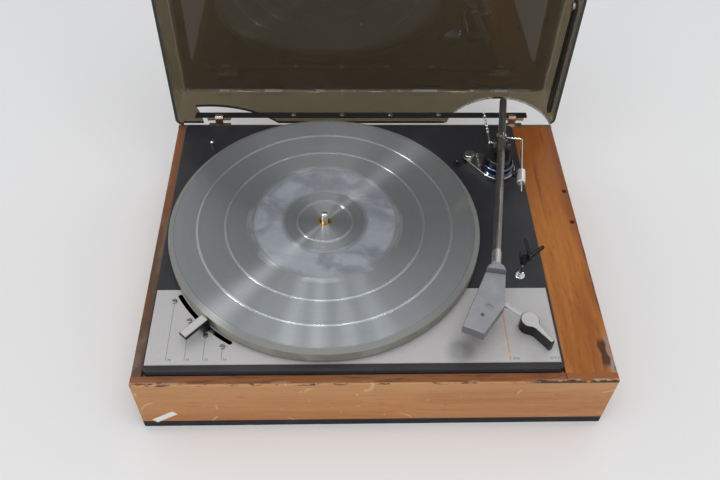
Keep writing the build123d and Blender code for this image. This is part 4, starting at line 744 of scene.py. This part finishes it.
def painted_head():
    """Light grey enamel of the head, with pits, painted shade on its sides and a recess painted
    darker.
    """
    g = Graph("painted_head")
    fine = g.noise(g.place, scale=500.0, detail=3.0)
    cloud = g.noise(g.place, scale=70.0, detail=4.0)
    colour = g.mix(g.range(cloud, NOISE_SPAN, (0.0, 1.0)), HEAD_DARK, HEAD_PALE)
    pits = g.patches(g.place, scale=700.0, detail=1.0, low=0.72, high=0.77)
    colour = g.tint(colour, HEAD_PIT, pits, share=0.7)
    # Faces that look sideways painted darker: painted shade
    shaded_sides = g.below(g.split(g.normal)[2], 0.60, soft=0.15)
    colour = g.tint(colour, HEAD_SIDE_SHADE, shaded_sides, share=0.62)
    # Recess painted darker grey
    colour = g.tint(colour, HEAD_DISH_GREY, g.around(*HEAD_DISH, HEAD_DISH_REACH), share=0.40)
    return g.set(Base_Color=colour, Metallic=0.25, Roughness=0.40,
                 Normal=g.bump(fine, distance=0.00004, strength=0.4))


def arm_alloy():
    """Dull tube, streaked along its length, and paler on the short sleeve."""
    g = Graph("arm_alloy")
    streak = g.noise(g.scaled(40.0, 3.0, 40.0), scale=8.0, detail=4.0)
    colour = g.mix(streak, TUBE_DARK, TUBE_PALE)
    tarnished = g.patches(g.place, scale=45.0, detail=4.0, low=0.52, high=0.66)
    colour = g.tint(colour, TUBE_TARNISH, tarnished, share=0.45)
    colour = g.tint(colour, SLEEVE_PALE, g.below(g.y, SLEEVE_Y, soft=0.00075), share=0.8)
    return g.set(Base_Color=colour, Metallic=0.9,
                 Roughness=g.range(streak, NOISE_SPAN, (0.26, 0.40)),
                 Normal=g.bump(streak, distance=0.00003, strength=0.4))


# Cover: the walls' smoke, the top's smoke painted darker as painted shade, its cut edges, the
# speckled edge of the right cut-out, and pale grey for scratches and a painted glint
WALL_DEEP = (0.185, 0.152, 0.094)
WALL_PALE = (0.245, 0.205, 0.135)
# Top sheet's smoke, painted darker than the walls: painted shade
SHEET_SHADE_DEEP = (0.030, 0.023, 0.012)
SHEET_SHADE_PALE = (0.050, 0.040, 0.023)
CUT_EDGE_DARK = (0.020, 0.022, 0.020)
SPECKLE_DARK = (0.20, 0.20, 0.19)
SPECKLE_BRIGHT = (0.80, 0.81, 0.82)
# Pale grey of scratches and specks, and of the painted glint along the inner crease
SCRATCH_AND_GLINT_GREY = (0.22, 0.22, 0.22)


def as_if_shut(g):
    """The cover's Y and Z as if it were shut, and how much a face there looks along Y."""
    turn = math.radians(LID_OPEN)
    c, s = math.cos(turn), math.sin(turn)
    dy = g.difference(g.y, HINGE_Y)
    dz = g.difference(g.z, HINGE_Z)
    shut_y = g.difference(g.total(g.product(dy, c), HINGE_Y), g.product(dz, s))
    shut_z = g.total(g.product(dy, s), g.product(dz, c), HINGE_Z)
    _, normal_y, normal_z = g.split(g.normal)
    return shut_y, shut_z, g.size(g.difference(g.product(normal_y, c), g.product(normal_z, s)))


def smoked_acrylic():
    """Smoked clear plastic, with its top sheet painted darker than its walls as painted shade, dark
    cut edges, soft smears, pale specks and a painted glint along its inner crease.

    Its places are taken as if the cover were shut, so that each wall is told apart."""
    g = Graph("smoked_acrylic")
    shut_y, shut_z, faces_y = as_if_shut(g)
    in_wall = g.above(shut_y, REAR_CUT_FROM, soft=0.00025)
    inside_arches = g.product(g.below(shut_z, ARCHES_TOP, soft=0.00035),
                              g.below(g.size(g.x), ARCHES_END, soft=0.0005))
    cut = g.product(in_wall, g.below(faces_y, 0.375, soft=0.075), inside_arches)
    bright = g.product(cut, g.above(g.x, RIGHT_CUT_START, soft=0.002))
    rim = g.below(shut_z, RIM_CUT_TO, soft=0.0002)
    dark = g.largest(rim, g.difference(cut, bright))
    smoke = g.noise(g.place, scale=9.0, detail=3.0)
    # Top sheet painted darker than the walls: painted shade
    in_top = g.above(shut_z, SHEET_FROM, soft=0.00135)
    base = g.mix(in_top, g.mix(smoke, WALL_DEEP, WALL_PALE), g.mix(smoke, SHEET_SHADE_DEEP, SHEET_SHADE_PALE))
    base = g.mix(dark, base, CUT_EDGE_DARK)
    speckle = g.patches(g.place, scale=620.0, detail=3.0, low=0.42, high=0.60)
    base = g.mix(bright, base, g.mix(speckle, SPECKLE_DARK, SPECKLE_BRIGHT))
    # Painted glint along the inner crease where the top meets the rear wall, broken along X
    fold = g.total(g.difference(shut_y, LID_REAR_INNER), g.difference(shut_z, LID_UNDER_TOP))
    broken = g.patches(g.scaled(1.0, 0.0, 0.0), scale=22.0, detail=5.0, low=0.44, high=0.60)
    crease_glint = g.product(g.near(fold, CREASE_FOLD, half=CREASE_HALF_W), broken)
    specks = g.product(g.patches(g.place, scale=300.0, detail=1.0, low=0.74, high=0.78), 0.5)
    pale = g.largest(crease_glint, specks)
    base = g.mix(pale, base, SCRATCH_AND_GLINT_GREY)
    haze = g.noise(g.scaled(1.0, 1.0, 2.4), scale=7.0, detail=5.0, roughness=0.6, distortion=0.4)
    opaque = g.largest(dark, bright, pale)
    rough = g.total(0.04, g.product(g.step(haze, 0.48, 0.75), 0.12), g.product(opaque, 0.35))
    return g.set(Base_Color=base, Transmission_Weight=g.difference(1.0, opaque), Roughness=rough,
                 IOR=1.49)


def ink(name, colour):
    """Printed ink, worn paler in fine spots."""
    g = Graph(name)
    worn = g.patches(g.place, scale=900.0, detail=2.0, low=0.45, high=0.65)
    faded = tuple(c * 1.5 + 0.05 for c in colour)
    return g.set(Base_Color=g.mix(worn, colour, faded), Roughness=0.5)


def paper():
    """White paper, soiled in patches."""
    g = Graph("paper_tag")
    fine = g.noise(g.place, scale=900.0, detail=3.0)
    soiled = g.patches(g.place, scale=200.0, detail=3.0, low=0.5, high=0.7)
    return g.set(Base_Color=g.mix(soiled, (0.88, 0.88, 0.87), (0.78, 0.77, 0.75)), Roughness=0.85,
                 Normal=g.bump(fine, distance=0.00004, strength=0.4))


def dress(material, *names):
    """Give CAD nodes a material."""
    for name in names:
        node = nodes[name]
        node.data.materials.clear()
        node.data.materials.append(material)


def add_object(name, data):
    """New object in the scene."""
    obj = bpy.data.objects.new(name, data)
    bpy.context.scene.collection.objects.link(obj)
    return obj


def piece(name, mesh, material, body):
    """New mesh piece that rides on a body."""
    obj = add_object(name, mesh)
    obj.data.materials.append(material)
    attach(obj, body)
    return obj


def mesh_of(name, bm):
    """Mesh of a finished bmesh, with its faces looking outwards."""
    mesh = bpy.data.meshes.new(name)
    bmesh.ops.recalc_face_normals(bm, faces=bm.faces)
    bm.to_mesh(mesh)
    bm.free()
    return mesh


def evaluated_mesh(obj):
    """Mesh of an object after its modifiers, or of its text."""
    bpy.context.view_layer.update()
    return bpy.data.meshes.new_from_object(obj.evaluated_get(bpy.context.evaluated_depsgraph_get()))


def add_plate(bm, x0, x1, y0, y1, z0, z1):
    """Closed plate between two corners."""
    size = Vector((x1 - x0, y1 - y0, z1 - z0))
    centre = Vector((x0 + x1, y0 + y1, z0 + z1)) / 2
    where = Matrix.Translation(centre) @ Matrix.Diagonal((*size, 1.0))
    bmesh.ops.create_cube(bm, size=1.0, matrix=where)


def add_bar(bm, x, width, y0, y1):
    """Printed bar on the panel."""
    add_plate(bm, x - width / 2, x + width / 2, y0, y1, PANEL_TOP, PANEL_TOP + PRINT_T)


def printed_words(name, words, size, material):
    """Letters on the panel as one thin mesh: each word is (text, x, y)."""
    bm = bmesh.new()
    for text, x, y in words:
        curve = bpy.data.curves.new(name + "_" + text, "FONT")
        curve.body = text
        curve.size = size
        curve.extrude = PRINT_T / 2
        curve.resolution_u = 3
        holder = add_object(curve.name, curve)
        flat = evaluated_mesh(holder)
        flat.transform(Matrix.Translation((x, y, PANEL_TOP + PRINT_T / 2)))
        bm.from_mesh(flat)
        bpy.data.objects.remove(holder)
    bmesh.ops.remove_doubles(bm, verts=bm.verts, dist=WELD)
    return piece(name, mesh_of(name, bm), material, "plinth")


def speed_lines(material):
    """Line from each speed screw down to its number."""
    bm = bmesh.new()
    for x, screw_y, _ in SPEED_MARKS:
        add_bar(bm, x, LINE_W, MARK_FOOT_Y, screw_y - MARK_BELOW_SCREW)
    return piece("speed_lines", mesh_of("speed_lines", bm), material, "plinth")


def switch_stripe(material):
    """Orange stripe on the left of the switch."""
    bm = bmesh.new()
    add_bar(bm, STRIPE_X, STRIPE_W, *STRIPE_Y)
    return piece("switch_stripe", mesh_of("switch_stripe", bm), material, "plinth")


def screw_ring(bm, radius, z):
    """Ring of corners round the Z axis."""
    angles = [2 * math.pi * i / SCREW_SIDES for i in range(SCREW_SIDES)]
    return [bm.verts.new((radius * math.cos(a), radius * math.sin(a), z)) for a in angles]


def head_screw(material):
    """Low domed screw with a slot, on the head's top."""
    name = "head_screw"
    bm = bmesh.new()
    rings = [screw_ring(bm, SCREW_R * r, SCREW_H * z) for r, z in SCREW_PROFILE]
    for low, high in zip(rings, rings[1:]):
        for i in range(SCREW_SIDES):
            j = (i + 1) % SCREW_SIDES
            bm.faces.new((low[i], low[j], high[j], high[i]))
    bm.faces.new(rings[-1])
    bm.faces.new(reversed(rings[0]))
    dome = add_object(name, mesh_of(name, bm))
    slot_bm = bmesh.new()
    add_plate(slot_bm, -SCREW_R * 1.2, SCREW_R * 1.2, -SCREW_SLOT_W / 2, SCREW_SLOT_W / 2,
              SCREW_H * 0.45, SCREW_H * 2)
    cutter = add_object(name + "_cutter", mesh_of(name + "_cutter", slot_bm))
    cut = dome.modifiers.new("slot", "BOOLEAN")
    cut.object = cutter
    cut.operation = "DIFFERENCE"
    done = evaluated_mesh(dome)
    turn = Matrix.Rotation(math.radians(SCREW_TURN), 4, "Z")
    done.transform(Matrix.Translation(HEAD_SCREW) @ turn)
    bpy.data.objects.remove(dome)
    bpy.data.objects.remove(cutter)
    return piece(name, done, material, "tonearm")


def paper_tag(material):
    """Blank paper tag stuck askew over the foot of the front board."""
    bm = bmesh.new()
    bmesh.ops.create_grid(bm, x_segments=12, y_segments=4, size=0.5,
                          matrix=Matrix.Rotation(math.pi / 2, 4, "X"))
    for v in bm.verts:
        lift = max(0.0, v.co.x - TAG_LIFT_FROM) ** 2 * TAG_LIFT
        v.co = Vector((v.co.x * TAG_W, -lift, v.co.z * TAG_H))
    bmesh.ops.solidify(bm, geom=bm.faces[:], thickness=TAG_T)
    mesh = mesh_of("paper_tag", bm)
    mesh.transform(Matrix.Translation(TAG_PLACE) @ Matrix.Rotation(math.radians(TAG_LEAN), 4, "Y"))
    return piece("paper_tag", mesh, material, "plinth")


def add_floor():
    """Wide white sheet that the object stands on."""
    bm = bmesh.new()
    bmesh.ops.create_grid(bm, x_segments=1, y_segments=1, size=FLOOR_HALF)
    floor = add_object("floor", mesh_of("floor", bm))
    floor.data.materials.append(Graph("floor_paper").set(Base_Color=FLOOR_WHITE, Roughness=0.8))


def add_lamp(name, place, target, size, power, soft=False):
    """Area lamp: a soft one lights matt surfaces, and the others glint on shiny ones."""
    lamp = bpy.data.lights.new(name, "AREA")
    lamp.shape = "RECTANGLE"
    lamp.size, lamp.size_y = size
    lamp.energy = power
    obj = add_object(name, lamp)
    obj.location = place
    obj.rotation_euler = (Vector(target) - Vector(place)).to_track_quat("-Z", "Y").to_euler()
    obj.visible_diffuse = soft
    obj.visible_glossy = not soft


def add_world():
    """Soft white room, a little brighter at the horizon than overhead."""
    world = bpy.data.worlds.new("studio")
    bpy.context.scene.world = world
    world.use_nodes = True
    tree = world.node_tree
    back = tree.nodes["Background"]
    coords = tree.nodes.new("ShaderNodeTexCoord")
    split = tree.nodes.new("ShaderNodeSeparateXYZ")
    ramp = tree.nodes.new("ShaderNodeMapRange")
    tree.links.new(coords.outputs["Generated"], split.inputs[0])
    tree.links.new(split.outputs[2], ramp.inputs["Value"])
    ramp.inputs["From Min"].default_value = HORIZON_UP
    ramp.inputs["From Max"].default_value = ZENITH_UP
    ramp.inputs["To Min"].default_value = HORIZON_LIGHT
    ramp.inputs["To Max"].default_value = ZENITH_LIGHT
    tree.links.new(ramp.outputs["Result"], back.inputs["Strength"])
    back.inputs["Color"].default_value = ROOM_WHITE


def add_camera():
    """Camera that stands where the photograph's stood."""
    data = bpy.data.cameras.new("camera")
    data.lens = CAMERA_LENS
    data.sensor_width = SENSOR
    camera = add_object("camera", data)
    yaw, tilt, roll = (math.radians(a) for a in CAMERA_TURN)
    camera.matrix_world = (Matrix.Translation(CAMERA_PLACE) @ Matrix.Rotation(yaw, 4, "Z")
                           @ Matrix.Rotation(tilt, 4, "X") @ Matrix.Rotation(roll, 4, "Z"))
    bpy.context.scene.camera = camera


# Wood
dress(veneer("veneer_front", "x", FRONT_GRAIN, front_wear), "plinth_front_board")
dress(veneer("veneer_rear", "x", SIDE_GRAIN, plain_wear), "plinth_rear_board")
dress(veneer("veneer_left", "y", SIDE_GRAIN, rim_wear), "plinth_left_board")
dress(veneer("veneer_ledge", "y", LEDGE_GRAIN, ledge_wear), "plinth_side_ledge",
      "plinth_right_board")
dress(softwood(), "plinth_corner_blocks", "deck_support_rails")
dress(stained_board(), "plinth_base_board")

# Metal
dress(lacquered("panel_aluminium", PANEL_PALE, PANEL_DEEP, panel_wear), "control_panel")
dress(lacquered("cap_aluminium", CAP_TONE, CAP_TONE), "speed_knob_cap", "switch_lever_cap")
dress(turned_platter(), "platter")
dress(spindle_metal(), "platter_spindle")
dress(metal("dull_steel", (0.50, 0.50, 0.50), 0.34), "base_screws", "deck_studs", "thrust_ball",
      "speed_lever_ring", "idler_guide", "motor_hanger", "idler_carriage", "idler_wheel",
      "drive_shaft", "speed_lever_arm", "lid_hinge_rivets", "lid_stay_screw", "stylus")
dress(metal("bearing_brass", (0.55, 0.43, 0.22), 0.34), "main_bearing_housing", "switch_bush")
dress(metal("bright_chrome", (0.80, 0.81, 0.83), 0.09, tarnish=(0.42, 0.38, 0.33)),
      "deck_pin", "arm_rest_post", "arm_base_cap", "weight_rail")
dress(metal("screw_steel", (0.30, 0.30, 0.29), 0.30, tarnish=(0.14, 0.13, 0.12)),
      "speed_stop_screws")
dress(metal("bright_beads", (0.92, 0.92, 0.93), 0.24), "notched_rod")
dress(metal("satin_aluminium", (0.50, 0.50, 0.51), 0.52), "finger_lift")
dress(metal("blue_chrome", (0.13, 0.17, 0.28), 0.12), "arm_collar")
dress(metal("weight_alloy", (0.80, 0.80, 0.79), 0.40), "force_weight")
dress(metal("dark_chrome", (0.46, 0.45, 0.45), 0.10), "arm_base_plate")
dress(metal("hinge_brass", (0.74, 0.64, 0.52), 0.26, tarnish=(0.40, 0.27, 0.17)),
      "lid_hinge_brackets", "lid_hinge_pins", "lid_hinge_knuckles")
dress(arm_alloy(), "arm_tube", "arm_pivot_block")

# Paint
dress(deck_enamel(), "deck_plate")
dress(painted_head(), "headshell")
dress(enamel("black_satin", (0.020, 0.020, 0.022), 0.34), "motor_body", "arm_yoke", "bias_post",
      "lid_hinge_strip", "lid_stay")

# Plastic, rubber and the cover
dress(moulded("black_plastic", (0.007, 0.007, 0.009), 0.36), "speed_knob", "switch_lever",
      "switch_box", "arm_rest_cradle", "weight_thumb_screw", "cartridge")
dress(moulded("black_rubber", (0.022, 0.022, 0.022), 0.78), "cord_grommets", "rubber_bushes",
      "idler_tyre")
dress(smoked_acrylic(), "lid_shell")

# Print, tag and small screw
dark_ink = ink("dark_ink", (0.075, 0.065, 0.060))
speed_lines(dark_ink)
printed_words("speed_numbers", [(text, x + NUMBER_FROM_LINE, MARK_FOOT_Y)
                                for x, _, text in SPEED_MARKS], NUMBER_SIZE, dark_ink)
printed_words("switch_words", [(text, x, SWITCH_WORD_Y) for x, text in SWITCH_WORDS],
              SWITCH_WORD_SIZE, dark_ink)
switch_stripe(ink("orange_ink", (0.52, 0.27, 0.075)))
paper_tag(paper())
head_screw(enamel("dulled_screw", (0.085, 0.085, 0.085), 0.45))

add_floor()
add_world()
add_lamp("overhead", *OVERHEAD, soft=True)
for number, (x, power) in enumerate(CEILING_STRIPS):
    add_lamp(f"ceiling_strip_{number}", (x, STRIP_Y, STRIP_Z), (x, *TARGET[1:]), STRIP_SIZE, power)
add_lamp("left_window", *LEFT_WINDOW)
add_lamp("right_window", *RIGHT_WINDOW)
add_camera()

view = bpy.context.scene.view_settings
view.view_transform = "Standard"
